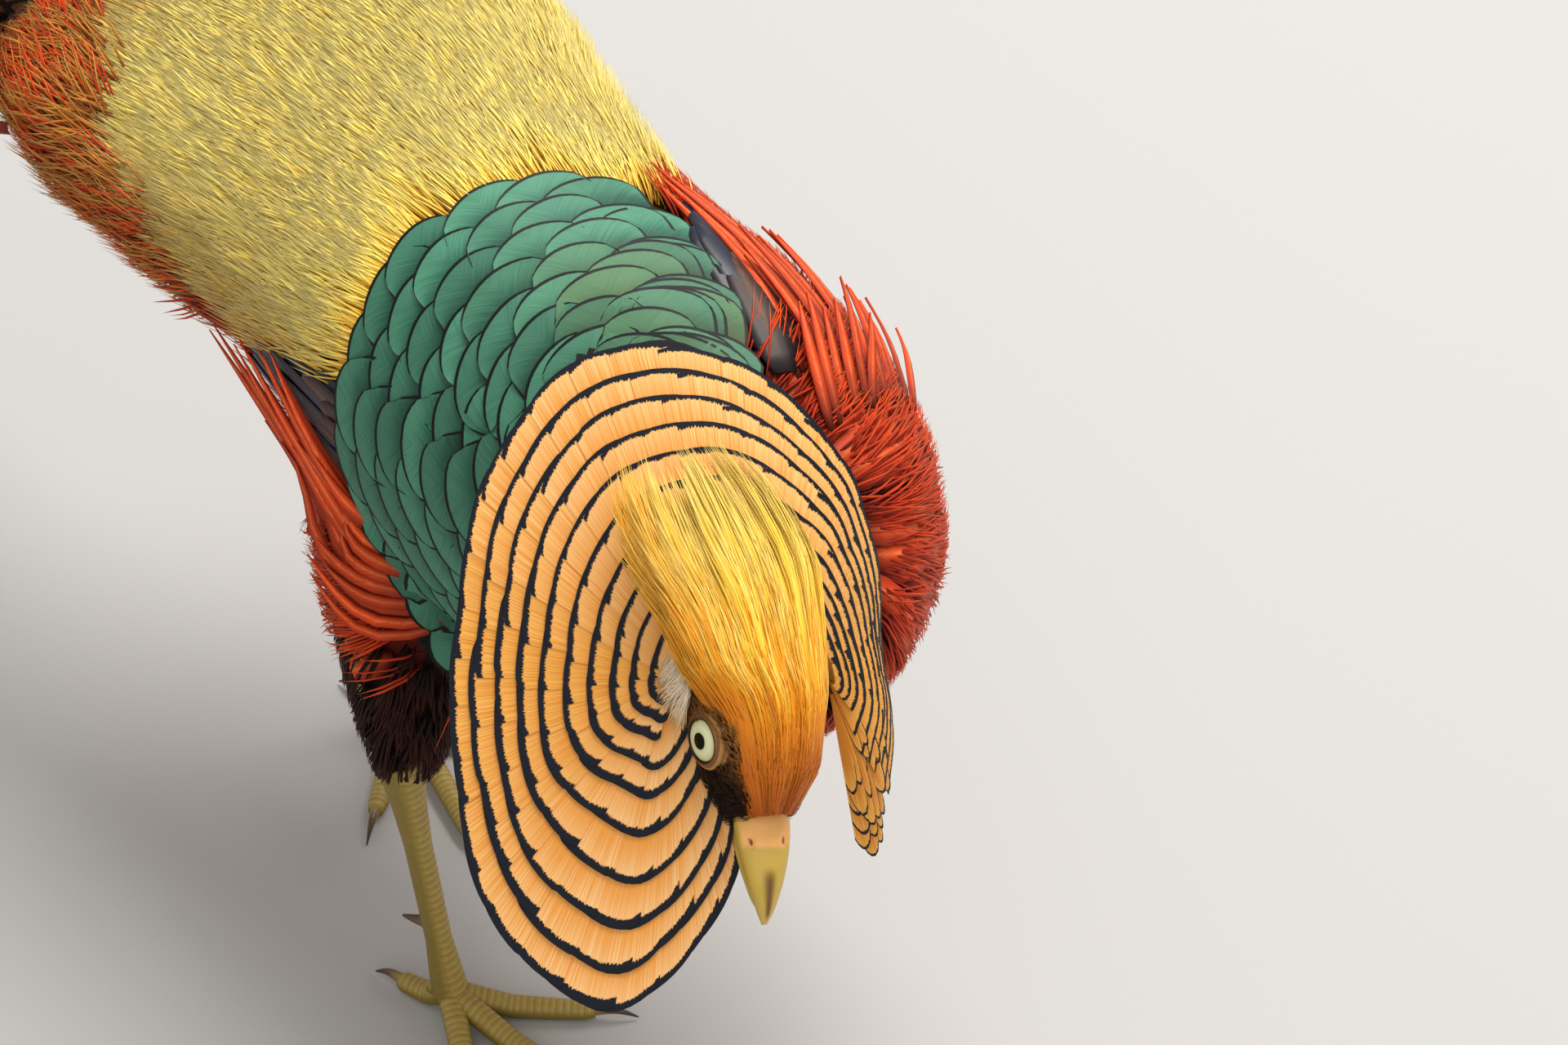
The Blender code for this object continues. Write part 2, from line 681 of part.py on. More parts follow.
def crest_core():
    """The crest where it lies on the crown, before it parts into locks."""
    rings = []
    for forward in np.linspace(CREST_STATIONS[0][0], CREST_CORE_END, 12):
        shift, half_width, height = crest_frame(forward)
        centre = in_head(forward, shift, height - CREST_DEPTH)
        rings.append(round_section(centre, HEAD_RIGHT, HEAD_UP, half_width * MM, CREST_DEPTH * MM, 14))
    return loft("crest", rings, "gold")


def crest_lock(across, layer, tip):
    """One silky lock, from the crest's core to its tip."""
    spots = np.linspace(CREST_CORE_END + 4.0, tip + 9.0 * across * across, 4)
    centres = []
    for k, forward in enumerate(spots):
        shift, half_width, height = crest_frame(forward)
        arch = height - CREST_DEPTH + (CREST_DEPTH - 1.5) * (1 - across * across) + layer * (k + 1) / 4
        spread = 1.0 + 0.08 * k
        centres.append(in_head(forward, shift + half_width * across * 0.86 * spread, arch))
    centres = np.array(centres)
    tangents = np.gradient(centres, axis=0)
    normals = [unit(HEAD_UP * math.cos(across) + HEAD_RIGHT * math.sin(across) * 0.7) for _ in spots]
    sides = np.array([unit(np.cross(n, t)) for n, t in zip(normals, tangents)])
    widths = np.array((1.4, 1.4, 1.0, 0.25)) * MM
    return vane("lock", centres, sides, normals, widths, 0.8 * MM, "gold")


def crest():
    """The silky crest: a cap on the crown that parts into layers of locks behind."""
    locks = []
    for count, layer, tip in CREST_LAYERS:
        for across in np.linspace(-0.95, 0.95, count):
            locks.append(crest_lock(across, layer, tip))
    return fuse(crest_core(), locks)


def tail_axes(distance):
    """Centre, along, across and up of the tail at a distance from its base."""
    yaw = math.radians(TAIL_YAW)
    level = np.array((-math.sin(yaw), math.cos(yaw), 0.0))
    steps = np.linspace(0, distance, 30)
    dip = np.radians(TAIL_DECLINE + TAIL_DROOP * steps / TAIL_LENGTH)
    run = np.trapz(np.cos(dip), steps)
    fall = np.trapz(np.sin(dip), steps)
    along = level * math.cos(dip[-1]) - np.array((0, 0, math.sin(dip[-1])))
    across = unit(np.cross(along, (0, 0, 1)))
    return TAIL_BASE + level * run - np.array((0, 0, fall)), along, across, np.cross(across, along)


def tail_stump():
    """The root of the tail, which all its feathers grow from."""
    rings = []
    for distance, half_width, half_height in TAIL_STUMP:
        centre, _, across, up = tail_axes(distance)
        rings.append(round_section(centre - up * 0.002, across, up, half_width, half_height, 14))
    return loft("tail", rings, "tail")


def tail_feather(pair, side):
    """One tail feather: arched, vaulted down to its side, and tapering to a point."""
    length, half_width, splay = TAIL_PAIRS[pair]
    shares = np.array((0.0, 0.12, 0.3, 0.5, 0.68, 0.82, 0.93, 1.0))
    if pair > 3:
        shares = np.array((0.0, 0.2, 0.45, 0.7, 0.88, 1.0))
    vault = math.radians(8 + 5.5 * pair)
    centres, sides, normals, widths = [], [], [], []
    for share in shares:
        distance = 0.015 + share * length
        centre, _, across, up = tail_axes(distance)
        outward = across * side * math.cos(vault) - up * math.sin(vault)
        taper = 1 - 0.9 * max(0.0, (share - 0.5) / 0.5) ** 1.7
        width = half_width * min(1.0, 0.42 + 2.4 * share) * taper
        reach = (0.004 if pair == 0 else width + 0.0012) + math.sin(math.radians(splay)) * distance
        level = TAIL_LEVEL * (pair + (0.5 if side > 0 or pair else 0.0)) - 0.004
        centres.append(centre + outward * reach - up * level)
        sides.append(outward * side)
        normals.append(unit(up * math.cos(vault) + across * side * math.sin(vault)))
        widths.append(width)
    arch = 0.12 * half_width if pair < 4 else 0.0
    return vane("tail feather", centres, sides, normals, widths, TAIL_THICKNESS, "tail", arch=arch)


def tail():
    feathers = [tail_feather(pair, side) for pair in range(len(TAIL_PAIRS)) for side in (-1, 1)]
    return fuse(tail_stump(), feathers)


def covert(turn, length):
    """One long pointed covert, lying over the root of the tail at a turn from its top."""
    angle = math.radians(turn)
    shares = np.array((0.0, 0.25, 0.5, 0.75, 0.92, 1.0))
    centres, sides, normals = [], [], []
    for share in shares:
        centre, _, across, up = tail_axes(0.004 + share * length)
        out = across * math.sin(angle) + up * math.cos(angle)
        radius = 0.0165 + 0.010 * share + abs(math.sin(angle)) * (0.012 + 0.020 * share)
        centres.append(centre - up * (0.004 + 0.008 * share * share) + out * radius)
        sides.append(across * math.cos(angle) - up * math.sin(angle))
        normals.append(out)
    widths = COVERT_HALF_WIDTH * np.array((0.8, 1.0, 1.0, 0.75, 0.4, 0.08))
    return vane("covert", centres, sides, normals, widths, 0.8 * MM, "scarlet")


def upper_coverts():
    """The scarlet coverts on a saddle over the root of the tail."""
    rings = []
    for distance in (0.006, 0.018, 0.030):
        centre, _, across, up = tail_axes(distance)
        angles = np.radians(np.linspace(-92, 92, 11))
        radius = 0.0165 + 0.012 * abs(np.sin(angles)) + 0.0006
        out = np.outer(np.sin(angles), across) + np.outer(np.cos(angles), up)
        outer = centre - up * 0.004 + out * (radius + 0.0012)[:, None]
        inner = centre - up * 0.004 + out * (radius - 0.0018)[:, None]
        rings.append(np.concatenate([outer, inner[::-1]]))
    saddle = loft("upper_coverts", rings, "scarlet", smooth=False)
    return fuse(saddle, [covert(turn, length) for turn, length in COVERTS])


def wing_plate(word, side):
    """The folded wing's body: a smooth plate on the torso's side that its feathers grow from."""
    rings = []
    for y, top, bottom, swell in WING_PLATE:
        arc = np.linspace(top, bottom, 7)
        lifts = MM * (0.8 + swell * np.sin(np.pi * np.linspace(0.15, 0.85, 7)))
        outer = [torso_point(y, side * a, s)[0] for a, s in zip(arc, lifts)]
        inner = [torso_point(y, side * a, -0.002)[0] for a in arc][::-1]
        rings.append(np.array(outer + inner))
    return loft("wing_" + word, rings, "wing")


def wing_vane(side, root, tip, half_width, lifts, tilt, blunt):
    """One wing feather, laid along the torso from its root to its tip: each end is y and turn."""
    centres, sides, normals = [], [], []
    for share in (0.0, 0.3, 0.6, 0.85, 1.0):
        y, turn = (root[k] + (tip[k] - root[k]) * share for k in (0, 1))
        lift = lifts[0] + (lifts[1] - lifts[0]) * share
        point, out = torso_point(y, side * turn, lift * MM)
        slant = (tip[1] - root[1]) * 0.004 / (tip[0] - root[0])
        ahead = torso_point(y + 0.004, side * (turn + slant), lift * MM)[0]
        centres.append(point)
        normals.append(out)
        sides.append(-side * unit(np.cross(out, ahead - point)))
    widths = half_width * MM * np.array((0.6, 0.95, 1.0, 0.85, blunt))
    return vane("wing feather", centres, sides, normals, widths, WING_THICKNESS, "wing", tilt=tilt * MM)


def wing(word, side):
    """A folded wing: flight feathers like shingles, and a row of coverts over their roots."""
    pieces = []
    for count, roots, tips, bow, half_width, lifts, tilt, blunt in (FLIGHT_ROW, COVERT_ROW):
        for share in np.linspace(0, 1, count):
            root = (roots[0], roots[1] + (roots[2] - roots[1]) * share)
            reach = tips[0] + bow * math.sin(math.pi * (0.15 + 0.7 * share))
            tip = (reach, tips[1] + (tips[2] - tips[1]) * share)
            pieces.append(wing_vane(side, root, tip, half_width, lifts, tilt, blunt))
    return fuse(wing_plate(word, side), pieces)


def thigh(word):
    path = np.array(THIGHS[word])
    rows = np.c_[path, THIGH_RADII]
    table = eased(rows, 8)
    rings = []
    for point, radius, along in zip(table[:, :3], table[:, 3], np.gradient(table[:, :3], axis=0)):
        across = unit(np.cross(along, (0, 1, 0)))
        rings.append(round_section(point, across, unit(np.cross(across, along)), radius, radius, 16))
    return loft("thigh_" + word, rings, "thigh")


def limb(name, path, radii, sides, colour="leg"):
    """A round tapering limb along a path."""
    path = np.asarray(path, float)
    rings = []
    for point, radius, along in zip(path, radii, np.gradient(path, axis=0)):
        along = unit(along)
        side = unit(np.cross(along, (0.13, 0.31, 0.94)))
        rings.append(round_section(point, side, np.cross(side, along), radius, radius, sides))
    return loft(name, rings, colour)


def toe(word, name, degrees):
    """One toe with its claw, resting on the floor from its middle to the claw."""
    way = np.array((math.cos(math.radians(degrees)), math.sin(math.radians(degrees)), 0))
    length, claw = TOE_LENGTHS[name], CLAW_LENGTHS[name == "hind"]
    root = np.array((*FEET[word], 0))
    path, radii = [], []
    for reach, claw_share, height, size in TOE_STATIONS:
        path.append(root + way * (length * reach + claw * claw_share) + np.array((0, 0, height)))
        radii.append(TOE_RADIUS * size)
    return limb("toe", path, radii, 7)


def spur(top, foot, back):
    root = top + (foot - top) * SPUR_SHARE
    path = [root, root + back * 0.006, root + back * 0.0085 + np.array((0, 0, 0.001))]
    return limb("spur", path, SPUR_RADII, 6)


def leg(word):
    """Tarsus, spur and toes with their claws, flat underneath."""
    foot = np.array((*FEET[word], FOOT_JOINT_HEIGHT))
    hock = np.array(THIGHS[word][2])
    top = hock + unit(foot - hock) * GAP
    path = [top + (foot - top) * share for share, _ in TARSUS_STATIONS]
    tarsus = limb("leg_" + word, path, [TARSUS_RADIUS * size for _, size in TARSUS_STATIONS], 10)
    back = -unit(np.array((*(FEET[word] - hock[:2]), 0)))
    pieces = [toe(word, name, degrees) for name, degrees in TOE_DIRECTIONS[word].items()]
    fuse(tarsus, pieces + [spur(top, foot, back)])
    bpy.ops.mesh.primitive_cube_add(size=0.3, location=(foot[0], foot[1], -0.15))
    return cut(tarsus, adopted("floor", "leg", CUTTERS))


def build():
    body = torso()
    skull = head()
    throat = neck()
    for whole in (skull, throat):
        WHOLE[whole.name] = whole.data.copy()
    cut_clear(throat, body, skull)
    eyes_and_lids(skull)
    upper, lower = bill()
    cut_clear(upper, skull)
    cut_clear(lower, skull)
    capes = [cape_side("cape_right", 0.0, CAPE_PARTING[0]), cape_side("cape_left", CAPE_PARTING[1], 1.0)]
    for cape in capes:
        cut_clear(cape, body, skull, throat, upper, lower)
        for side in (1, -1):
            cut(cape, eye_room(side))
    tuft = crest()
    cut_clear(tuft, skull, *capes, throat)
    train = tail()
    cut_clear(train, body)
    cut_clear(upper_coverts(), body, train)
    for word, side in (("right", -1), ("left", 1)):
        folded = wing(word, side)
        cut_clear(folded, body)
        upper_leg = thigh(word)
        lower_leg = leg(word)
        cut_clear(upper_leg, body, folded, lower_leg)


def settle_origin():
    """Moves the whole bird so that the origin is under the middle of its bounding box, on the floor."""
    corners = np.array([np.array(o.matrix_world @ v.co) for o in PARTS.objects for v in o.data.vertices])
    middle = (corners.min(0) + corners.max(0)) / 2
    shift = Matrix.Translation((-middle[0], -middle[1], 0))
    for made in PARTS.objects:
        made.data.transform(shift)


for old in list(bpy.data.objects):
    bpy.data.objects.remove(old)
# Forms as they were before they were cut, which the cutters are made from
WHOLE = {}
PARTS = bpy.data.collections.new("golden pheasant")
CUTTERS = bpy.data.collections.new("cutters")
bpy.context.scene.collection.children.link(PARTS)
bpy.context.scene.collection.children.link(CUTTERS)
build()
settle_origin()
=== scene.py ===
"""Looks of a life-size golden pheasant cock in display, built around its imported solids.

The bird faces -Y, its right side is -X and up is +Z. Lengths are in metres unless a name ends in _mm.
Feathers are real meshes: narrow blades for the soft, hair-like plumage and broad vanes for the cape,
mantle, wings and tail. Each feather carries its own coordinates as attributes, which its finish reads.
"""

from __future__ import annotations

import logging
import math
from dataclasses import dataclass, field
from enum import Enum
from typing import Callable, Iterable, Sequence

import bpy
import numpy as np
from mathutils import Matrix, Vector
from mathutils.bvhtree import BVHTree

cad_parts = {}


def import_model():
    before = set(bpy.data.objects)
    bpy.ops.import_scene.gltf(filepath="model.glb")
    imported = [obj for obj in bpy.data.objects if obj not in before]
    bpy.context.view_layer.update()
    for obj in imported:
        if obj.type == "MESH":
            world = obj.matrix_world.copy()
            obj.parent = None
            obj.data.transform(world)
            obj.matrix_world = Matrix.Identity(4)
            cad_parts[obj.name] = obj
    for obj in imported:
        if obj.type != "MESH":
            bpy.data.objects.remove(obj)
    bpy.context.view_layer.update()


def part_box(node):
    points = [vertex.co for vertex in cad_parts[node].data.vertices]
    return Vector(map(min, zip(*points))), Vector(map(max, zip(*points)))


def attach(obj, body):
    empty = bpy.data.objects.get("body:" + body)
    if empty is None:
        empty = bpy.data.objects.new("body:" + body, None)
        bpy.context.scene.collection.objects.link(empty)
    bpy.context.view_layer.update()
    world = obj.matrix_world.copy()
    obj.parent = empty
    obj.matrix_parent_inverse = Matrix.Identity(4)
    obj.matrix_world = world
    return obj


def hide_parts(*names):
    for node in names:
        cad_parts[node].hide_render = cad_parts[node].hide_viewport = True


LOG = logging.getLogger("golden_pheasant")
MM = 0.001
Array = np.ndarray
Point = tuple[float, float, float]
Row = tuple[float, ...]
Table = tuple[Row, ...]
Field = Callable[[Array], Array]
Stops = tuple[tuple[float, str], ...]
Tree = bpy.types.NodeTree
Socket = bpy.types.NodeSocket
Piece = bpy.types.Object
UP = np.array((0.0, 0.0, 1.0))


# Small helpers


def linear(hex_colour: str) -> tuple[float, float, float, float]:
    """Turns an sRGB hex colour into linear RGBA.

    Args:
        hex_colour: six hex digits after a hash.

    Returns:
        The linear red, green, blue and an alpha of 1.
    """
    parts = [int(hex_colour[k:k + 2], 16) / 255 for k in (1, 3, 5)]
    red, green, blue = (p / 12.92 if p <= 0.04045 else ((p + 0.055) / 1.055) ** 2.4 for p in parts)
    return red, green, blue, 1.0


def add_node(
    tree: Tree, kind: str, inputs: dict[str | int, object] | None = None, out: str | int = 0,
    **settings: object,
) -> Socket:
    """Adds a shader node with its settings and links.

    Args:
        tree: the material's node tree.
        kind: the node's type, without its ShaderNode prefix.
        inputs: a value, a hex colour or a socket for each input, by name or number.
        out: the output to return, by name or number.
        settings: its properties; "stops" fills a colour ramp with (place, hex colour) pairs.

    Returns:
        One of the new node's outputs.
    """
    made = tree.nodes.new("ShaderNode" + kind)
    for name, value in settings.items():
        if name == "stops":
            ramp = made.color_ramp.elements
            while len(ramp) < len(value):
                ramp.new(1.0)
            for stop, (place, colour) in zip(ramp, value):
                stop.position, stop.color = place, linear(colour)
        else:
            setattr(made, name, value)
    for key, value in (inputs or {}).items():
        if isinstance(value, Socket):
            tree.links.new(value, made.inputs[key])
        else:
            made.inputs[key].default_value = linear(value) if isinstance(value, str) else value
    return made.outputs[out]


def unit(vectors: Array) -> Array:
    """Vectors scaled to length one along their last axis."""
    vectors = np.asarray(vectors, float)
    return vectors / np.maximum(np.linalg.norm(vectors, axis=-1, keepdims=True), 1e-12)


def square_to(ways: Array, axes: Array) -> Array:
    """The ways made square to the axes, at length one."""
    return unit(ways - (ways * axes).sum(-1, keepdims=True) * axes)


def smooth_step(low: float, high: float, value: Array) -> Array:
    """A soft step from 0 at low to 1 at high."""
    t = np.clip((np.asarray(value, float) - low) / (high - low), 0, 1)
    return t * t * (3 - 2 * t)


def run_along(points: Array) -> Array:
    """Each point's distance from the first, along a line."""
    return np.r_[0, np.cumsum(np.linalg.norm(np.diff(points, axis=0), axis=1))]


def between(at: Array, known: Array, table: Array) -> Array:
    """The rows of a table at places between the known ones."""
    return np.stack([np.interp(at, known, column) for column in table.T], -1)


def eased(rows: Sequence[Sequence[float]], count: int, steps: Array | None = None) -> Array:
    """Resamples the rows of a table to a smooth run.

    Args:
        rows: the table.
        count: how many rows to return.
        steps: each row's place; without it, the distance over the first three columns.

    Returns:
        The resampled rows.
    """
    table = np.array(rows, float)
    steps = run_along(table[:, :3]) if steps is None else steps
    at = np.linspace(0, steps[-1], count)
    slopes = np.gradient(table, steps, axis=0)
    k = np.clip(np.searchsorted(steps, at, side="right") - 1, 0, len(steps) - 2)
    span = (steps[k + 1] - steps[k])[:, None]
    t = (at - steps[k])[:, None] / span
    return (
        (2 * t**3 - 3 * t**2 + 1) * table[k] + (t**3 - 2 * t**2 + t) * span * slopes[k]
        + (3 * t**2 - 2 * t**3) * table[k + 1] + (t**3 - t**2) * span * slopes[k + 1]
    )


# The bird's frames: body, head and cape, as the solids have them


@dataclass(frozen=True)
class Axes:
    """A place with three directions, whose points are given in millimetres."""

    centre: Array
    first: Array
    second: Array
    third: Array

    def point(self, first: Array | float, second: Array | float, third: Array | float) -> Array:
        """The point or points at these distances along the three directions."""
        parts = [np.asarray(v, float)[..., None] for v in (first, second, third)]
        return self.centre + MM * (parts[0] * self.first + parts[1] * self.second + parts[2] * self.third)


@dataclass(frozen=True)
class Stance:
    """How the head and the cape are held, in the solids' own sizes, and where the bird stands."""

    head_centre: Point = (-0.0374, -0.1449, 0.173)
    head_turns: Point = (38.0, -40.0, 14.0)
    fan_centre: Point = (-0.0452, -0.1246, 0.1841)
    fan_azimuth: float = -45.0
    fan_elevation: float = 42.0
    eye_mm: Point = (0.5, 10.6, 2.2)

    def unplaced_head(self) -> Axes:
        """The head's forward, right and up before the bird is set in its place."""
        yaw, pitch, roll = (math.radians(a) for a in self.head_turns)
        level = np.array((-math.sin(yaw), -math.cos(yaw), 0.0))
        forward = level * math.cos(pitch) + UP * math.sin(pitch)
        right = unit(np.cross(forward, (0, 0, 1)))
        up = np.cross(right, forward)
        leaning_right = right * math.cos(roll) + up * math.sin(roll)
        leaning_up = up * math.cos(roll) - right * math.sin(roll)
        return Axes(np.array(self.head_centre), forward, leaning_right, leaning_up)

    def shift(self) -> Array:
        """From the stance's own coordinates to the frame's, found from the right eye's solid."""
        low, high = (np.array(corner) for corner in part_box("eye_right"))
        return (low + high) / 2 - self.unplaced_head().point(*self.eye_mm)

    def head(self) -> Axes:
        """Forward, right and up of the head, in its place."""
        axes = self.unplaced_head()
        return Axes(axes.centre + self.shift(), axes.first, axes.second, axes.third)

    def fan(self) -> Axes:
        """Across, up and outward of the cape's fan, in its place."""
        azimuth, elevation = math.radians(self.fan_azimuth), math.radians(self.fan_elevation)
        flat = np.array((math.sin(azimuth), -math.cos(azimuth), 0))
        outward = flat * math.cos(elevation) + UP * math.sin(elevation)
        across = np.array((math.cos(azimuth), math.sin(azimuth), 0))
        return Axes(np.array(self.fan_centre) + self.shift(), across, np.cross(outward, across), outward)


# Meshes


def carry(mesh: bpy.types.Mesh, values: dict[str, Array], chart: Array) -> None:
    """Gives a mesh its points' values as attributes, and their places on the bake chart."""
    for key, value in values.items():
        layer = mesh.attributes.new(key, "FLOAT", "POINT")
        layer.data.foreach_set("value", value.ravel().astype(np.float32))
    corners = np.empty(len(mesh.loops), np.int32)
    mesh.loops.foreach_get("vertex_index", corners)
    layer = mesh.uv_layers.new(name="OFBake")
    layer.data.foreach_set("uv", chart[corners].ravel().astype(np.float32))


@dataclass
class Soup:
    """Triangles with the values that their points carry, before they become an object."""

    points: Array
    triangles: Array
    values: dict[str, Array]
    bake: Array

    def place(self, name: str, finish: Finish, slot: str, *nodes: str, crisp: bool = False) -> None:
        """Makes a piece, shaded smooth, and hands it to the frame.

        Args:
            name: the piece's name.
            finish: its finish.
            slot: passed on to set_in_place.
            nodes: the solids that it stands for.
            crisp: whether its rims stay sharp, as on thin plates.
        """
        mesh = bpy.data.meshes.new(name)
        count = len(self.triangles)
        mesh.vertices.add(len(self.points))
        mesh.vertices.foreach_set("co", self.points.ravel().astype(np.float32))
        mesh.loops.add(3 * count)
        mesh.loops.foreach_set("vertex_index", self.triangles.ravel().astype(np.int32))
        mesh.polygons.add(count)
        mesh.polygons.foreach_set("loop_start", np.arange(0, 3 * count, 3, dtype=np.int32))
        mesh.update(calc_edges=True)
        carry(mesh, self.values, self.bake)
        mesh.polygons.foreach_set("use_smooth", np.ones(count, bool))
        if crisp:
            mesh.set_sharp_from_angle(angle=math.radians(50))
        mesh.materials.append(finish.material())
        made = bpy.data.objects.new(name, mesh)
        bpy.context.scene.collection.objects.link(made)
        set_in_place(made, slot, *nodes)


def join(soups: Iterable[Soup]) -> Soup:
    """Several soups made one."""
    soups = list(soups)
    starts = np.cumsum([0] + [len(s.points) for s in soups[:-1]])
    keys = soups[0].values.keys()
    return Soup(
        np.concatenate([s.points for s in soups]),
        np.concatenate([s.triangles + k for s, k in zip(soups, starts)]),
        {key: np.concatenate([s.values[key].ravel() for s in soups]) for key in keys},
        np.concatenate([s.bake for s in soups]),
    )


def bake_patch(roots: Array, across: Array, along: Array, size: float = 0.003) -> Array:
    """The bake chart's points of many tufts, each a small patch at its root's place.

    Args:
        roots: each tuft's place on the chart, N x 2.
        across: each point's place across its tuft, -1 to 1, N x P.
        along: each point's place along its tuft, 0 to 1, N x P.
        size: the patch's width.

    Returns:
        Chart points, N x P x 2.
    """
    roots = np.clip(roots, size, 1 - size)
    local = np.stack([np.broadcast_to(across, along.shape) / 2, along - 0.5], axis=-1)
    return roots[:, None, :] + local * size


def bake_cells(count: int, across: Array, along: Array) -> Array:
    """The bake chart's points of patterned feathers, each in a cell of its own.

    Args:
        count: how many feathers share the chart.
        across: each point's place across its feather, -1 to 1, N x P.
        along: each point's place along it, 0 to 1, N x P.

    Returns:
        Chart points, N x P x 2.
    """
    side = math.ceil(math.sqrt(count))
    cell = np.arange(count)
    corner = np.stack([cell % side, cell // side], axis=-1) / side
    local = np.stack([0.5 + 0.45 * np.clip(across, -1, 1), 0.05 + 0.9 * along], axis=-1)
    return corner[:, None, :] + local / side


def blades(
    path: Array, normals: Array, half_widths: Array, thickness: float, roots: Array,
    values: dict[str, Array],
) -> Soup:
    """Narrow feathers: closed, three-sided blades that end in a point.

    Args:
        path: the middle line of each blade, N x S x 3.
        normals: the way out of the body along it, N x S x 3.
        half_widths: N x S.
        thickness: how far the ridge stands over the edges, as a share of the half width.
        roots: each blade's place on the bake chart, N x 2.
        values: one number for each blade, by attribute name.

    Returns:
        The blades.
    """
    count, stations = path.shape[:2]
    along = np.gradient(path, axis=1)
    sides = unit(np.cross(normals, along)) * half_widths[..., None]
    ridge = path + unit(normals) * (half_widths * thickness)[..., None]
    body = np.stack([path - sides, path + sides, ridge], axis=2)[:, :-1].reshape(count, -1, 3)
    points = np.concatenate([body, path[:, -1:]], axis=1)
    size = points.shape[1]
    faces = [(0, 1, 2)]
    for k in range(stations - 2):
        low, high = 3 * k, 3 * k + 3
        for j in range(3):
            i = (j + 1) % 3
            faces += [(low + j, high + j, high + i), (low + j, high + i, low + i)]
    last = 3 * (stations - 2)
    faces += [(last + j, size - 1, last + (j + 1) % 3) for j in range(3)]
    triangles = np.array(faces)[None] + np.arange(count)[:, None, None] * size
    share = np.concatenate([np.repeat(np.arange(stations - 1), 3), [stations - 1]]) / (stations - 1)
    across = np.concatenate([np.tile((-1.0, 1.0, 0.0), stations - 1), [0.0]])
    share, across = np.tile(share, (count, 1)), np.tile(across, (count, 1))
    carried = {key: np.repeat(value, size) for key, value in values.items()}
    carried["along"] = share
    return Soup(
        points.reshape(-1, 3), triangles.reshape(-1, 3), carried,
        bake_patch(roots, across, share).reshape(-1, 2),
    )


@dataclass
class VaneShape:
    """The section and tip of a broad feather.

    Camber is the middle's rise over the edges, tilt an edge's rise over the middle, and shaft the shaft's
    own rise. The tip's outline falls back from its middle by the drop as a parabola, by the corner at its
    corners alone and by the round as a circle.
    """

    columns: int = 5
    thickness_mm: float = 0.25
    camber_mm: float = 0.0
    tip_drop_mm: float = 2.0
    corner_mm: float = 0.0
    tilt_mm: float = 0.0
    shaft_mm: float = 0.0
    round_mm: float = 0.0


def plates(outer: Array, inner: Array, tip_mm: Array, side_mm: Array, values: dict[str, Array]) -> Soup:
    """Thin closed feathers from the grids of both their faces.

    Args:
        outer: the outer face's points, N x stations x columns x 3.
        inner: the inner face's points, alike.
        tip_mm: each point's distance to its feather's tip, N x stations x columns.
        side_mm: each point's distance from the shaft, alike.
        values: one number for each feather, by attribute name.

    Returns:
        The feathers, each in a cell of its own on the bake chart.
    """
    count, stations, columns = outer.shape[:3]
    sheet = stations * columns
    index = np.arange(sheet).reshape(stations, columns)
    a, b, c, d = index[:-1, :-1], index[:-1, 1:], index[1:, 1:], index[1:, :-1]
    top = [np.stack(corner, -1).reshape(-1, 3) for corner in ((a, b, c), (a, c, d))]
    under = [face[:, ::-1] + sheet for face in top]
    loop = np.r_[index[0, :-1], index[:-1, -1], index[-1, :0:-1], index[:0:-1, 0]]
    after = np.roll(loop, -1)
    rim = [np.stack((loop, loop + sheet, after + sheet), 1), np.stack((loop, after + sheet, after), 1)]
    triangles = np.concatenate(top + under + rim)[None] + np.arange(count)[:, None, None] * 2 * sheet
    points = np.concatenate([outer.reshape(count, sheet, 3), inner.reshape(count, sheet, 3)], 1)
    along = np.tile(np.repeat(np.linspace(0, 1, stations), columns), (count, 2))
    across = np.tile(np.tile(np.linspace(-1, 1, columns), stations), (count, 2))
    carried = {key: np.repeat(value, 2 * sheet) for key, value in values.items()}
    carried.update({"along": along, "across": across})
    for key, grid in (("tip_mm", tip_mm), ("side_mm", side_mm)):
        carried[key] = np.tile(grid.reshape(count, sheet), (1, 2))
    chart = bake_cells(count, across[:1], along[:1])
    return Soup(points.reshape(-1, 3), triangles.reshape(-1, 3), carried, chart.reshape(-1, 2))


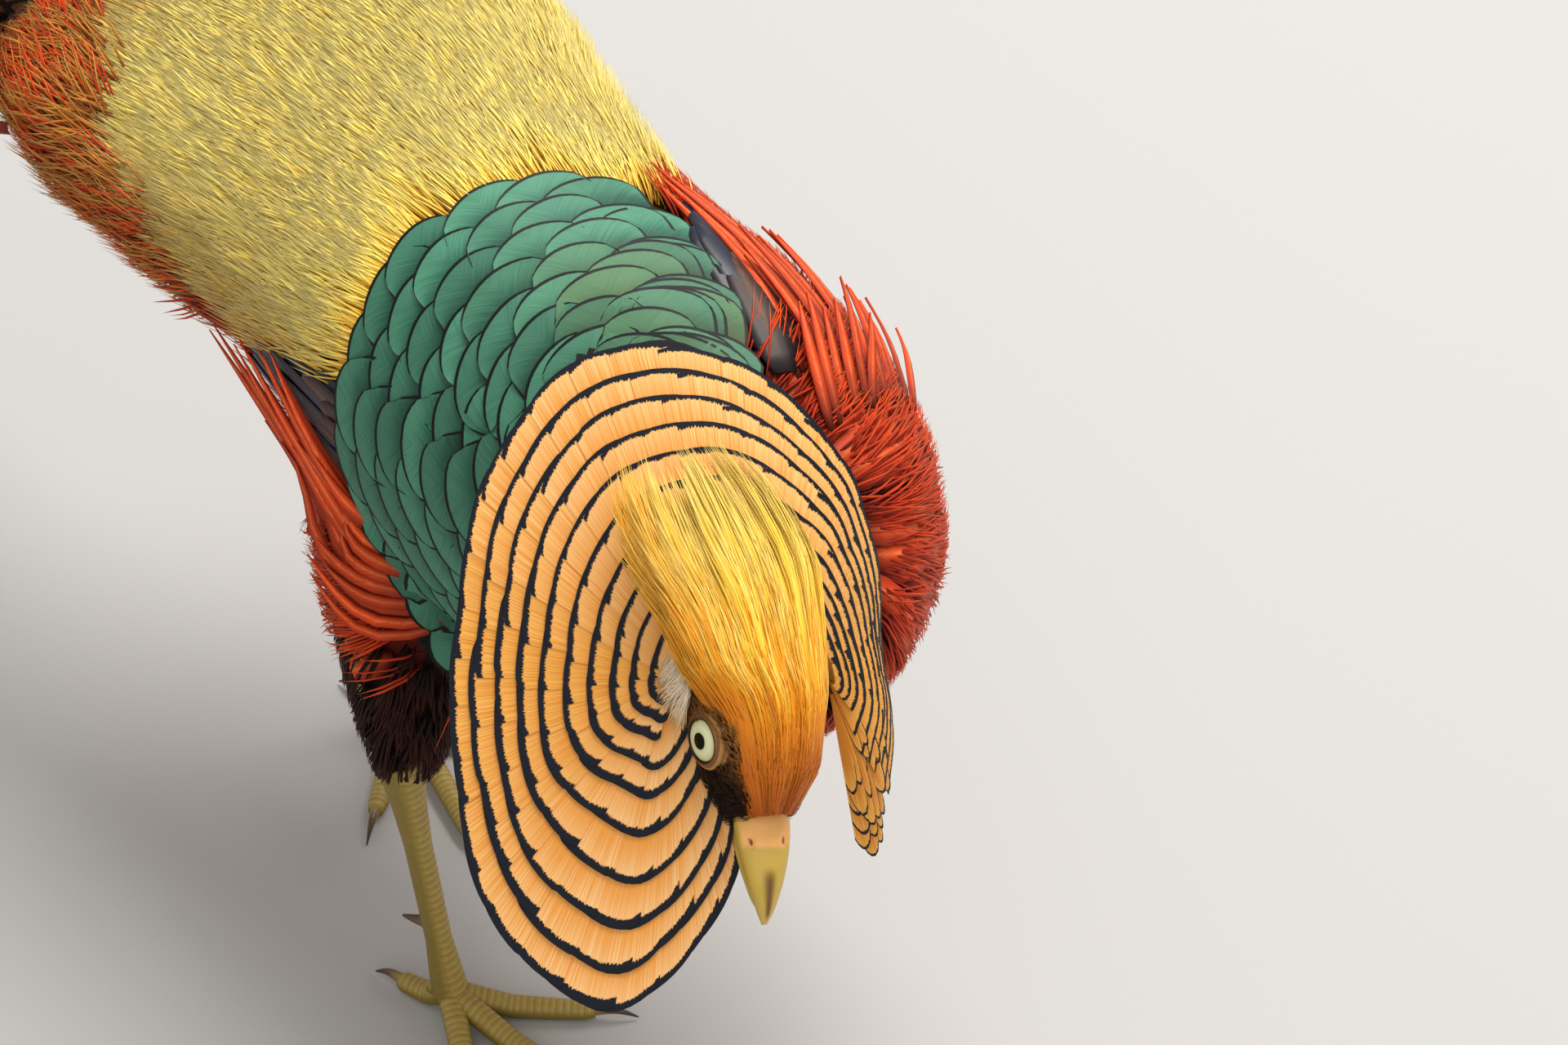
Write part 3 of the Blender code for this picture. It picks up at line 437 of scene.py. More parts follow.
def vanes(
    path: Array, normals: Array, half_widths: Array, shape: VaneShape, values: dict[str, Array],
    lying: Surface | None = None, lean: Array | float = 1.0,
) -> Soup:
    """Broad feathers: closed, thin, cambered plates with a rounded tip.

    Args:
        path: the shaft of each feather, N x S x 3.
        normals: the way out of the body along it, N x S x 3.
        half_widths: N x S.
        shape: the feathers' section and tip.
        values: one number for each feather, by attribute name.
        lying: a surface that the whole feather follows, at the height of its shaft.
        lean: how far each feather is tilted to its side, as a share of the shape's tilt.

    Returns:
        The feathers, which carry along, across, tip_mm (distance to the tip) and side_mm.
    """
    count, stations = path.shape[:2]
    u = np.linspace(-1, 1, shape.columns)
    tangents = unit(np.gradient(path, axis=1))
    normals = square_to(normals, tangents)
    sides = np.cross(tangents, normals)
    share = np.linspace(0, 1, stations)
    drop = shape.tip_drop_mm * np.outer(share**2, u * u) + shape.corner_mm * np.outer(share**6, u**6)
    drop = MM * (drop + shape.round_mm * np.outer(share**2, 1 - np.sqrt(1 - 0.96 * u * u)))
    tilt = shape.tilt_mm * u * np.broadcast_to(lean, count)[:, None]
    rise = np.broadcast_to(
        (shape.camber_mm * (1 - u * u) + tilt)[:, None], (count, stations, shape.columns),
    )
    base = path[:, :, None] + sides[:, :, None] * (half_widths[:, :, None] * u)[..., None]
    base = base - tangents[:, :, None] * drop[None, :, :, None]
    ways = np.broadcast_to(normals[:, :, None], base.shape)
    if lying is not None:
        under, _ = lying.nearest(path.reshape(-1, 3))
        height = ((path - under.reshape(path.shape)) * normals).sum(-1)
        flat = lying.nearest(base.reshape(-1, 3))[0].reshape(base.shape)
        ways = unit(np.cross(np.gradient(flat, axis=2), np.gradient(flat, axis=1)))
        base = flat + ways * height[:, :, None, None]
    shaft = shape.shaft_mm * (np.abs(u) < 1e-06)
    outer = base + ways * (MM * (rise + shaft))[..., None]
    inner = base + ways * (MM * (rise - shape.thickness_mm))[..., None]
    lengths = np.linalg.norm(np.diff(path, axis=1), axis=2).sum(1)
    tip_mm = np.broadcast_to(((1 - share)[None] * lengths[:, None] / MM)[..., None], rise.shape)
    return plates(outer, inner, tip_mm, half_widths[:, :, None] * u / MM, values)


def lofted(rings: Array, values: dict[str, Array]) -> Soup:
    """A closed skin over rings of equal point count, its ends closed by fans.

    Args:
        rings: R x P x 3, from one end to the other.
        values: one number for each ring point, R x P, by attribute name.

    Returns:
        The skin.
    """
    count, sides = rings.shape[:2]
    points = np.concatenate([rings.reshape(-1, 3), rings[:1].mean(1), rings[-1:].mean(1)])
    ring, place = np.meshgrid(np.arange(count - 1), np.arange(sides), indexing="ij")
    a, b = (ring * sides + place).ravel(), (ring * sides + (place + 1) % sides).ravel()
    walls = np.concatenate([np.stack([a, b, b + sides], 1), np.stack([a, b + sides, a + sides], 1)])
    k = np.arange(sides)
    start, end = count * sides, count * sides + 1
    first = np.stack([np.full(sides, start), (k + 1) % sides, k], 1)
    base = (count - 1) * sides
    last = np.stack([np.full(sides, end), base + k, base + (k + 1) % sides], 1)
    carried = {}
    for key, value in values.items():
        value = np.broadcast_to(value, (count, sides))
        carried[key] = np.concatenate([value.ravel(), [value[0].mean(), value[-1].mean()]])
    u, v = np.meshgrid(np.linspace(0, 1, count), np.arange(sides) / sides, indexing="ij")
    chart = np.concatenate([np.stack([v.ravel(), u.ravel()], 1), [(0.5, 0.0), (0.5, 1.0)]])
    return Soup(points, np.concatenate([walls, first, last]), carried, chart)


def turns(count: int) -> Array:
    """Even angles round a ring."""
    return np.linspace(0, 2 * math.pi, count, endpoint=False)


def rings_round(path: Array, over: Array, radii: Array, turn: Array, flatness: float = 1.0) -> Array:
    """Rings of points round a path.

    Args:
        path: the middle line, R x 3.
        over: the way that the rings' tops are kept near to.
        radii: R x P, or R x 1 for even rings.
        turn: the points' angles, from the path's side over its top.
        flatness: the rings' width against their height.

    Returns:
        The points, R x P x 3.
    """
    along = unit(np.gradient(path, axis=0))
    side = unit(np.cross(along, over))
    up = np.cross(side, along)
    turn = turn[None, :, None]
    ring = flatness * np.cos(turn) * side[:, None] + np.sin(turn) * up[:, None]
    return path[:, None] + radii[..., None] * ring


# Finishes


@dataclass(frozen=True)
class Gloss:
    """How a surface takes the light."""

    roughness: float = 0.55
    specular: float = 0.35
    coat: float = 0.0
    coat_roughness: float = 0.1
    ior: float = 1.54


@dataclass(frozen=True)
class Finish:
    """A named material with a colour tree of its own."""

    name: str
    gloss: Gloss = Gloss()

    def material(self) -> bpy.types.Material:
        """The finished material, made once."""
        known = bpy.data.materials.get(self.name)
        if known is not None:
            return known
        made = bpy.data.materials.new(self.name)
        made.use_nodes = True
        tree = made.node_tree
        shader = tree.nodes["Principled BSDF"]
        shader.inputs["Roughness"].default_value = self.gloss.roughness
        shader.inputs["Specular IOR Level"].default_value = self.gloss.specular
        shader.inputs["IOR"].default_value = self.gloss.ior
        shader.inputs["Coat Weight"].default_value = self.gloss.coat
        shader.inputs["Coat Roughness"].default_value = self.gloss.coat_roughness
        tree.links.new(self.colour(tree), shader.inputs["Base Color"])
        height = self.height(tree)
        if height is not None:
            bump = {"Strength": self.relief(), "Distance": MM, "Height": height}
            tree.links.new(add_node(tree, "Bump", bump), shader.inputs["Normal"])
        return made

    def colour(self, tree: Tree) -> Socket:
        """The colour of every point."""
        raise NotImplementedError

    def height(self, tree: Tree) -> Socket | None:
        """The fine relief in millimetres, where there is any."""
        return None

    def relief(self) -> float:
        """How strongly the fine relief shows."""
        return 0.5

    def barbs(self, tree: Tree, slant: float, scale: Point) -> Socket:
        """Fine noise drawn out along the barbs, which slant from the shaft towards the tip."""
        side = self.read(tree, "side_mm")
        off = add_node(tree, "Math", {0: side}, operation="ABSOLUTE")
        slanted = {0: off, 1: slant, 2: self.read(tree, "tip_mm")}
        slanted = add_node(tree, "Math", slanted, operation="MULTIPLY_ADD")
        place = add_node(tree, "CombineXYZ", {"X": slanted, "Y": self.read(tree, "seed"), "Z": side})
        grain = add_node(tree, "VectorMath", {0: place, 1: scale}, operation="MULTIPLY")
        return add_node(tree, "TexNoise", {"Vector": grain, "Scale": 1.0, "Detail": 2.0})

    @staticmethod
    def varied(tree: Tree, colour: Socket, by: Socket, least: float, most: float) -> Socket:
        """The colour made darker where a value is low and lighter where it is high."""
        value = add_node(tree, "MapRange", {"Value": by, "To Min": least, "To Max": most})
        return add_node(tree, "HueSaturation", {"Value": value, "Color": colour})

    @staticmethod
    def read(tree: Tree, name: str) -> Socket:
        """The value that each point carries under this name."""
        return add_node(tree, "Attribute", out="Fac", attribute_name=name)


@dataclass(frozen=True)
class PlumeFinish(Finish):
    """Soft plumes: barbs without hooks, dyed by carotenoids, darker and downier at their roots; the darker
    roots are partly painted shade between the plumes.
    """

    ramp: Stops = ((0, "#7A4A10"), (0.4, "#E8C030"), (1, "#F5DC60"))
    other: Stops | None = None
    spread: float = 0.22

    def colour(self, tree: Tree) -> Socket:
        """A ramp along each feather, shifted to the other ramp by its tint and varied by its seed."""
        along = self.read(tree, "along")
        # Most ramps darken towards the root: partly the downy base, partly painted shade in the gaps
        # between plumes.
        colour = add_node(tree, "ValToRGB", {"Fac": along}, stops=self.ramp)
        if self.other is not None:
            second = add_node(tree, "ValToRGB", {"Fac": along}, stops=self.other)
            blend = {0: self.read(tree, "tint"), 6: colour, 7: second}
            colour = add_node(tree, "Mix", blend, 2, data_type="RGBA")
        return self.varied(tree, colour, self.read(tree, "seed"), 1 - self.spread, 1 + self.spread * 0.7)


@dataclass(frozen=True)
class BarredFinish(Finish):
    """Cape feathers: close barbs of orange keratin, tipped with a blue-black bar with combed edges."""

    pale: str = "#FFD296"
    deep: str = "#F0A044"
    warm_pale: str = "#F9B548"
    warm_deep: str = "#D67E14"
    black: str = "#07080D"
    # blue, mixed into the bar by the barbs' noise, is partly the bar's own blue-black and partly a painted
    # sheen.
    blue: str = "#0E1628"
    # Barbs are about 0.35 mm apart; they are drawn at 0.5 mm so that they show
    barb_mm: float = 0.5

    def colour(self, tree: Tree) -> Socket:
        """Orange that deepens towards the root, with fine pale barbs and a bar at the tip."""
        names = ("tip_mm", "side_mm", "seed", "bar", "tint")
        tip, side, seed, width, tint = (self.read(tree, name) for name in names)
        place = add_node(tree, "CombineXYZ", {"X": side, "Y": seed, "Z": 0.0})
        spread = add_node(tree, "VectorMath", {0: place, 1: (1.0, 37.0, 1.0)}, operation="MULTIPLY")
        fine = {"Vector": spread, "Scale": 1 / self.barb_mm, "Detail": 2.0, "Roughness": 0.65}
        comb = add_node(tree, "TexNoise", fine)
        slow = add_node(tree, "TexNoise", {"Vector": spread, "Scale": 0.22, "Detail": 1.0})
        ragged = add_node(tree, "Math", {0: comb, 1: -2.0, 2: width}, operation="MULTIPLY_ADD")
        ragged = add_node(tree, "Math", {0: slow, 1: -0.9, 2: ragged}, operation="MULTIPLY_ADD")
        inside = add_node(tree, "Math", {0: ragged, 1: tip}, operation="SUBTRACT")
        step = {"Value": inside, "From Min": -1.58, "From Max": -1.28}
        bar = add_node(tree, "MapRange", step, interpolation_type="SMOOTHSTEP")
        depth = add_node(tree, "MapRange", {"Value": tip, "From Min": 1.5, "From Max": 9.0})
        depth = add_node(tree, "Math", {0: comb, 1: 3.6, 2: depth}, operation="MULTIPLY_ADD")
        depth = add_node(tree, "MapRange", {"Value": depth, "From Min": 1.35, "From Max": 2.75})
        pale = {0: tint, 6: self.warm_pale, 7: self.pale}
        deep = {0: tint, 6: self.warm_deep, 7: self.deep}
        ends = [add_node(tree, "Mix", mix, 2, data_type="RGBA") for mix in (pale, deep)]
        warm = add_node(tree, "Mix", {0: depth, 6: ends[0], 7: ends[1]}, 2, data_type="RGBA")
        # The bar's blue is partly its own blue-black and partly a painted sheen.
        dark = {0: comb, 6: self.black, 7: self.blue}
        dark = add_node(tree, "Mix", dark, 2, data_type="RGBA")
        return add_node(tree, "Mix", {0: bar, 6: warm, 7: dark}, 2, data_type="RGBA")

    def height(self, tree: Tree) -> Socket | None:
        """The barbs, as fine ribs along the feather."""
        side = self.read(tree, "side_mm")
        wave = add_node(tree, "Math", {0: side, 1: 2 * math.pi / self.barb_mm}, operation="MULTIPLY")
        return add_node(tree, "Math", {0: wave}, operation="SINE")

    def relief(self) -> float:
        """The barbs lie close, so they show only a little."""
        return 0.1


@dataclass(frozen=True)
class ScaleFinish(Finish):
    """Mantle feathers: structural green over dark melanin, each edged with velvet black."""

    green: str = "#2C6450"
    lit: str = "#4C8A70"
    # lit and shadow: a painted lighter tip and painted shade towards the root.
    shadow: str = "#0D2620"
    edge: str = "#030506"
    gold: str = "#667A3A"
    edge_mm: float = 0.8

    def colour(self, tree: Tree) -> Socket:
        """Green with a black edge and fine spreading barbs, darker towards the root: partly its own base,
        partly painted shade under the next row.
        """
        tip, across = self.read(tree, "tip_mm"), self.read(tree, "across")
        rim = add_node(tree, "Math", {0: across}, operation="ABSOLUTE")
        soft = {"interpolation_type": "SMOOTHSTEP"}
        rim = add_node(tree, "MapRange", {"Value": rim, "From Min": 0.92, "From Max": 0.96}, **soft)
        end = {"Value": tip, "From Min": self.edge_mm * 1.2, "From Max": self.edge_mm * 0.85}
        end = add_node(tree, "MapRange", end, **soft)
        edge = add_node(tree, "Math", {0: rim, 1: end}, operation="MAXIMUM")
        barbs = self.barbs(tree, 1.1, (2.4, 41.0, 0.12))
        near = add_node(tree, "MapRange", {"Value": tip, "From Min": 15.0, "From Max": 2.0}, **soft)
        near = add_node(tree, "Math", {0: barbs, 1: 0.7, 2: near}, operation="MULTIPLY_ADD")
        near = add_node(tree, "MapRange", {"Value": near, "From Min": 0.3, "From Max": 1.4})
        # The shadow stop, near the root, is partly painted shade under the overlapping row; the lit stop,
        # near the tip, is painted light.
        stops = {"stops": ((0, self.shadow), (0.6, self.green), (1, self.lit))}
        colour = add_node(tree, "ValToRGB", {"Fac": near}, **stops)
        warm = add_node(tree, "Math", {0: self.read(tree, "tint"), 1: 0.75}, operation="MULTIPLY")
        colour = add_node(tree, "Mix", {0: warm, 6: colour, 7: self.gold}, 2, data_type="RGBA")
        colour = self.varied(tree, colour, self.read(tree, "seed"), 0.72, 1.12)
        return add_node(tree, "Mix", {0: edge, 6: colour, 7: self.edge}, 2, data_type="RGBA")


# The camera, the light and the floor


@dataclass
class Studio:
    """The photograph's viewing angle, soft studio light and a plain pale floor."""

    stance: Stance
    camera_place: Point = (-0.8729759, -0.9893066, 1.31)
    looking_down: float = 42.0
    heading: float = -45.0
    lens_mm: float = 165.0
    floor_size: float = 14.0
    floor_colour: str = "#BFC0C0"
    sky_colour: str = "#F2F0EC"
    sky_strength: float = 0.65
    # What the lamps are turned to: the bird's shoulders
    lit_place: Point = (0.0, -0.25, 0.15)

    def camera(self) -> None:
        """A long lens from above the bird's front right."""
        data = bpy.data.cameras.new("camera")
        data.lens, data.sensor_width = self.lens_mm, 36.0
        data.clip_start, data.clip_end = 0.05, 60.0
        made = bpy.data.objects.new("camera", data)
        made.location = Vector(self.camera_place) + Vector(self.stance.shift())
        made.rotation_euler = (math.radians(90 - self.looking_down), 0, math.radians(self.heading))
        bpy.context.scene.collection.objects.link(made)
        bpy.context.scene.camera = made

    def lamp(
        self, name: str, place: Point, size: float, power: float, colour: str,
    ) -> None:
        """One soft panel that faces the bird.

        Args:
            name: the lamp's name.
            place: where it hangs.
            size: the panel's side.
            power: its power in watts.
            colour: the light's sRGB colour.
        """
        data = bpy.data.lights.new(name, "AREA")
        data.shape, data.size, data.energy = "SQUARE", size, power
        data.color = linear(colour)[:3]
        made = bpy.data.objects.new(name, data)
        made.location = place
        aim = Vector(self.lit_place) - Vector(place)
        made.rotation_euler = aim.to_track_quat("-Z", "Y").to_euler()
        bpy.context.scene.collection.objects.link(made)

    def lights(self) -> None:
        """An even sky with a broad key from high on the bird's left, as under thin cloud."""
        world = bpy.data.worlds.new("studio")
        world.use_nodes = True
        background = world.node_tree.nodes["Background"]
        background.inputs["Color"].default_value = linear(self.sky_colour)
        background.inputs["Strength"].default_value = self.sky_strength
        bpy.context.scene.world = world
        self.lamp("key panel", (0.95, -0.15, 2.3), 1.4, 64.0, "#FFFAF4")
        self.lamp("fill panel", (-1.3, -1.9, 1.5), 2.2, 9.0, "#FFF8F0")

    def floor(self) -> None:
        """A plain pale sweep under the bird."""
        bpy.ops.mesh.primitive_plane_add(size=self.floor_size)
        sweep = bpy.context.object
        sweep.name = "floor"
        paper = bpy.data.materials.new("matt paper")
        paper.use_nodes = True
        shader = paper.node_tree.nodes["Principled BSDF"]
        shader.inputs["Base Color"].default_value = linear(self.floor_colour)
        shader.inputs["Roughness"].default_value = 0.9
        sweep.data.materials.append(paper)

    def build(self) -> None:
        """Sets up camera, light and floor."""
        bpy.context.scene.view_settings.view_transform = "Standard"
        self.camera()
        self.lights()
        self.floor()


# The skin and what lies on it


@dataclass
class Surface:
    """A closed mesh that feathers are laid on."""

    points: Array
    faces: list[tuple[int, ...]]
    tree: BVHTree = field(init=False)
    corners: Array = field(init=False)

    def __post_init__(self) -> None:
        """Makes the search tree, and the triangles for even scattering."""
        self.tree = BVHTree.FromPolygons([tuple(p) for p in self.points], self.faces)
        rest = [(f[0], f[2], f[3]) for f in self.faces if len(f) > 3]
        self.corners = self.points[np.array([f[:3] for f in self.faces] + rest)]

    @classmethod
    def of(cls, made: Piece) -> Surface:
        """The surface of an object's mesh."""
        points = np.empty(len(made.data.vertices) * 3)
        made.data.vertices.foreach_get("co", points)
        return cls(points.reshape(-1, 3), [tuple(p.vertices) for p in made.data.polygons])

    def nearest(self, points: Array) -> tuple[Array, Array]:
        """The nearest surface points and their outward normals."""
        found = [self.tree.find_nearest(Vector(p))[:2] for p in points]
        return np.array([tuple(f[0]) for f in found]), np.array([tuple(f[1]) for f in found])

    def scatter(self, count: int, seed: int) -> tuple[Array, Array]:
        """Random points spread evenly over the surface.

        Args:
            count: how many points.
            seed: fixes the draw.

        Returns:
            The points and their normals.
        """
        draw = np.random.default_rng(seed)
        corners = self.corners
        cross = np.cross(corners[:, 1] - corners[:, 0], corners[:, 2] - corners[:, 0])
        area = np.linalg.norm(cross, axis=1)
        chosen = draw.choice(len(corners), count, p=area / area.sum())
        a, b = draw.random((2, count))
        over = a + b > 1
        a[over], b[over] = 1 - a[over], 1 - b[over]
        spots = corners[chosen]
        made = (
            spots[:, 0] + a[:, None] * (spots[:, 1] - spots[:, 0])
            + b[:, None] * (spots[:, 2] - spots[:, 0])
        )
        return made, unit(cross[chosen])

    def sown(self, mask: Field, count: int, seed: int) -> Array:
        """Feather roots on the surface, as dense as the mask, up to a count."""
        draw = np.random.default_rng(seed)
        found = np.empty((0, 3))
        for attempt in range(60):
            spots, _ = self.scatter(8000, seed * 100 + attempt)
            found = np.concatenate([found, spots[draw.random(len(spots)) < mask(spots)]])
            if len(found) >= count:
                break
        return found[:count]

    def lay(
        self, roots: Array, flow: Field, lengths: Array, lifts: Sequence[Array | float],
        swerve: Array | None = None,
    ) -> tuple[Array, Array]:
        """Lays a middle line for each feather along the surface.

        Args:
            roots: where they start, N x 3.
            flow: the way that feathers lie at any points.
            lengths: each feather's length.
            lifts: height over the surface at each station, in millimetres.
            swerve: a turn to the side for each feather, in radians.

        Returns:
            The middle lines and their normals, N x S x 3.
        """
        stations = len(lifts)
        place, normal = self.nearest(roots)
        path, ways = [], []
        for lift in lifts:
            path.append(place + normal * (np.asarray(lift) * MM)[..., None])
            ways.append(normal)
            heading = square_to(flow(place), normal)
            if swerve is not None:
                side = np.cross(normal, heading)
                heading = unit(heading * np.cos(swerve)[:, None] + side * np.sin(swerve)[:, None])
            place, normal = self.nearest(place + heading * (lengths / (stations - 1))[:, None])
        return np.stack(path, 1), np.stack(ways, 1)


@dataclass
class Tracts:
    """Where each kind of plumage grows, in the torso's own terms: distance along it and turn round it."""

    stance: Stance
    # The body's lean to its right, by distance along it in millimetres
    lean: Table = ((-60, 2), (-20, 6), (20, 10), (62, 12), (98, 10), (128, 5), (152, 0))
    # The mantle's edge from the right flank over the back to the neck's left: along, around
    mantle_edge: Table = (
        (-36, -140), (-30, -128), (-22, -117), (-13, -106), (-4, -96), (0, -82), (2, -61), (3, -42),
        (3, -24), (-4, -4), (-10, 7), (-15, 14), (-24, 19), (-36, 19), (-50, 13), (-64, 6), (-76, 0),
    )
    rear_count: int = 13
    # The point that the mantle's feathers spread from, at the root of the neck
    mantle_middle_mm: Point = (-10.0, -58.0, 212.0)
    slices: Array = field(init=False)
    origin: Array = field(init=False)

    def __post_init__(self) -> None:
        """Measures the torso's sections along its length."""
        self.origin = self.stance.shift()
        points = np.array([tuple(v.co) for v in bpy.data.objects["torso"].data.vertices]) - self.origin
        rows = []
        for y in np.linspace(points[:, 1].min() + 0.004, points[:, 1].max() - 0.004, 24):
            near = points[np.abs(points[:, 1] - y) < 0.009]
            low, high = near.min(0), near.max(0)
            rows.append((y, *((low + high) / 2)[[0, 2]], *((high - low) / 2)[[0, 2]]))
        self.slices = np.array(rows)

    def section(self, y: Array) -> tuple[Array, ...]:
        """Centre, half sizes and lean of the torso at these distances along it."""
        x, z, a, b = (np.interp(y, self.slices[:, 0], self.slices[:, k]) for k in range(1, 5))
        lean = np.radians(np.interp(np.asarray(y) / MM, *zip(*self.lean)))
        return x, z, a, b, lean

    def locate(self, points: Array) -> tuple[Array, Array]:
        """Distance along the torso in millimetres and turn round it in degrees, 0 on the back."""
        placed = np.asarray(points) - self.origin
        x, z, a, b, lean = self.section(placed[:, 1])
        dx, dz = (placed[:, 0] - x) / a, (placed[:, 2] - z) / b
        return placed[:, 1] / MM, (np.degrees(np.arctan2(dx, dz) + lean) + 180) % 360 - 180

    def spot(
        self, surface: Surface, along_mm: float, around: float, lift_mm: float = 0.0,
    ) -> tuple[Array, Array]:
        """The surface point at a distance along the torso and a turn round it, and its normal."""
        y = along_mm * MM
        x, z, a, b, lean = self.section(y)
        turn = math.radians(around) - lean
        start = np.array((x, y, z)) + self.origin
        way = unit(np.array((math.sin(turn) * a, 0.0, math.cos(turn) * b)))
        hit = surface.tree.ray_cast(Vector(start + way * 0.15), Vector(-way))
        normal = np.array(hit[1])
        return np.array(hit[0]) + normal * lift_mm * MM, normal

    def middle(self) -> Array:
        """The point that the mantle spreads from."""
        return np.array(self.mantle_middle_mm) * MM + self.origin

    def flow(self, points: Array) -> Array:
        """The lie of the body's feathers: tailward, and away from the root of the neck."""
        radial = unit(points - self.middle())
        along, _ = self.locate(points)
        share = 1 - 0.75 * smooth_step(30, 110, along)
        return unit(radial * (0.75 * share)[:, None] + np.array((-0.05, 0.8, 0.0)))

    def edge_at(self, around: Array) -> Array:
        """How far back the mantle reaches at a turn round the body."""
        edge = np.array(self.mantle_edge)[:self.rear_count]
        return np.interp(around, edge[:, 1], edge[:, 0], left=-60.0, right=-200.0)

    def left_edge_at(self, along: Array) -> Array:
        """How far the mantle reaches down the left side at a distance along the body."""
        edge = np.array(self.mantle_edge)[self.rear_count - 1:][::-1]
        return np.interp(along, edge[:, 0], edge[:, 1])

    def mantle(self, points: Array) -> Array:
        """1 inside the mantle, 0 outside."""
        along, around = self.locate(points)
        left = np.where(along < -24, self.left_edge_at(along), 19)
        inside = (along < self.edge_at(np.minimum(around, 18))) & (around < left) & (around > -140)
        return inside.astype(float)

    def gold(self, points: Array) -> Array:
        """From 0 to 1: how golden the plumage is, on the back and rump behind the mantle."""
        along, around = self.locate(points)
        right_limit = np.interp(
            along, (0, 15, 40, 66, 77, 87, 101, 108, 122, 136),
            (-60, -68, -78, -76, -74, -67, -52, -42, -20, 0),
        )
        left_limit = np.interp(
            along, (-35, -25, 0, 36, 80, 100, 112, 126, 138), (28, 46, 70, 84, 76, 58, 42, 20, 0),
        )
        within = np.minimum(around - right_limit, left_limit - around)
        behind = along - np.minimum(self.edge_at(around), 8) + 8
        return smooth_step(-9, 7, within) * smooth_step(-4, 2, np.where(around < 19, behind, along + 30))

    def dark(self, points: Array) -> Array:
        """From 0 to 1: where the folded wings show beside the mantle."""
        along, around = self.locate(points)
        right = smooth_step(-110, -103, around) * smooth_step(-52, -60, around) * smooth_step(52, 44, along)
        right = right * smooth_step(-60, -50, along)
        beside = around - self.left_edge_at(along)
        left = smooth_step(-6, -1, beside) * smooth_step(15, 11, beside) * smooth_step(-90, -80, along)
        return np.maximum(right, left * smooth_step(-14, -24, along))

    def torso_part(self, points: Array) -> Array:
        """True where the nearest flesh is the torso's own."""
        placed = np.asarray(points) - self.origin
        x, z, a, b, _ = self.section(placed[:, 1])
        reach = np.hypot((placed[:, 0] - x) / a, (placed[:, 2] - z) / b)
        return (reach < 1.16) & (placed[:, 1] > -0.131) & (placed[:, 1] < 0.156)

    def thigh_part(self, points: Array) -> Array:
        """True on the thighs."""
        placed = np.asarray(points) - self.origin
        return ~self.torso_part(points) & (placed[:, 1] > -0.075) & (placed[:, 2] < 0.15)

    def chestnut(self, points: Array) -> Array:
        """From 0 to 1: the dark plumage low on the thighs."""
        low = (np.asarray(points) - self.origin)[:, 2] / MM
        return smooth_step(124, 112, low) * self.thigh_part(points)

    def red(self, points: Array) -> Array:
        """From 0 to 1: the scarlet of breast, flanks and belly."""
        head = self.stance.head()
        clear = smooth_step(32, 40, np.linalg.norm(points - head.centre, axis=1) / MM)
        others = [self.gold(points), self.mantle(points), self.dark(points), self.chestnut(points)]
        return clear * np.prod([1 - o for o in others], axis=0)


def set_in_place(piece: Piece, slot: str, *nodes: str) -> None:
    """Hands a piece to the frame.

    Args:
        piece: the finished object.
        slot: not used.
        nodes: the solids that it stands for.
    """
    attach(piece, "root")
    if nodes:
        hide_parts(*nodes)
    LOG.info("%s: %d triangles", piece.name, len(piece.data.polygons))


@dataclass(frozen=True)
class DownFinish(Finish):
    """Skin under down: its colour follows the tract that grows from it."""

    tracts: tuple[tuple[str, str], ...] = (
        ("gold", "#A87820"), ("green", "#0C221D"), ("navy", "#120C0C"), ("tan", "#5E3A1A"),
        ("chestnut", "#240A06"),
    )

    def colour(self, tree: Tree) -> Socket:
        """Scarlet, golden, green or brown, by what each point carries."""
        colour = linear("#6A1608")
        for name, shade in self.tracts:
            blend = {0: self.read(tree, name), 6: colour, 7: shade}
            colour = add_node(tree, "Mix", blend, 2, data_type="RGBA")
        place = add_node(tree, "TexCoord", out="Object")
        down = add_node(tree, "TexNoise", {"Vector": place, "Scale": 600.0, "Detail": 3.0})
        return self.varied(tree, colour, down, 0.7, 1.3)


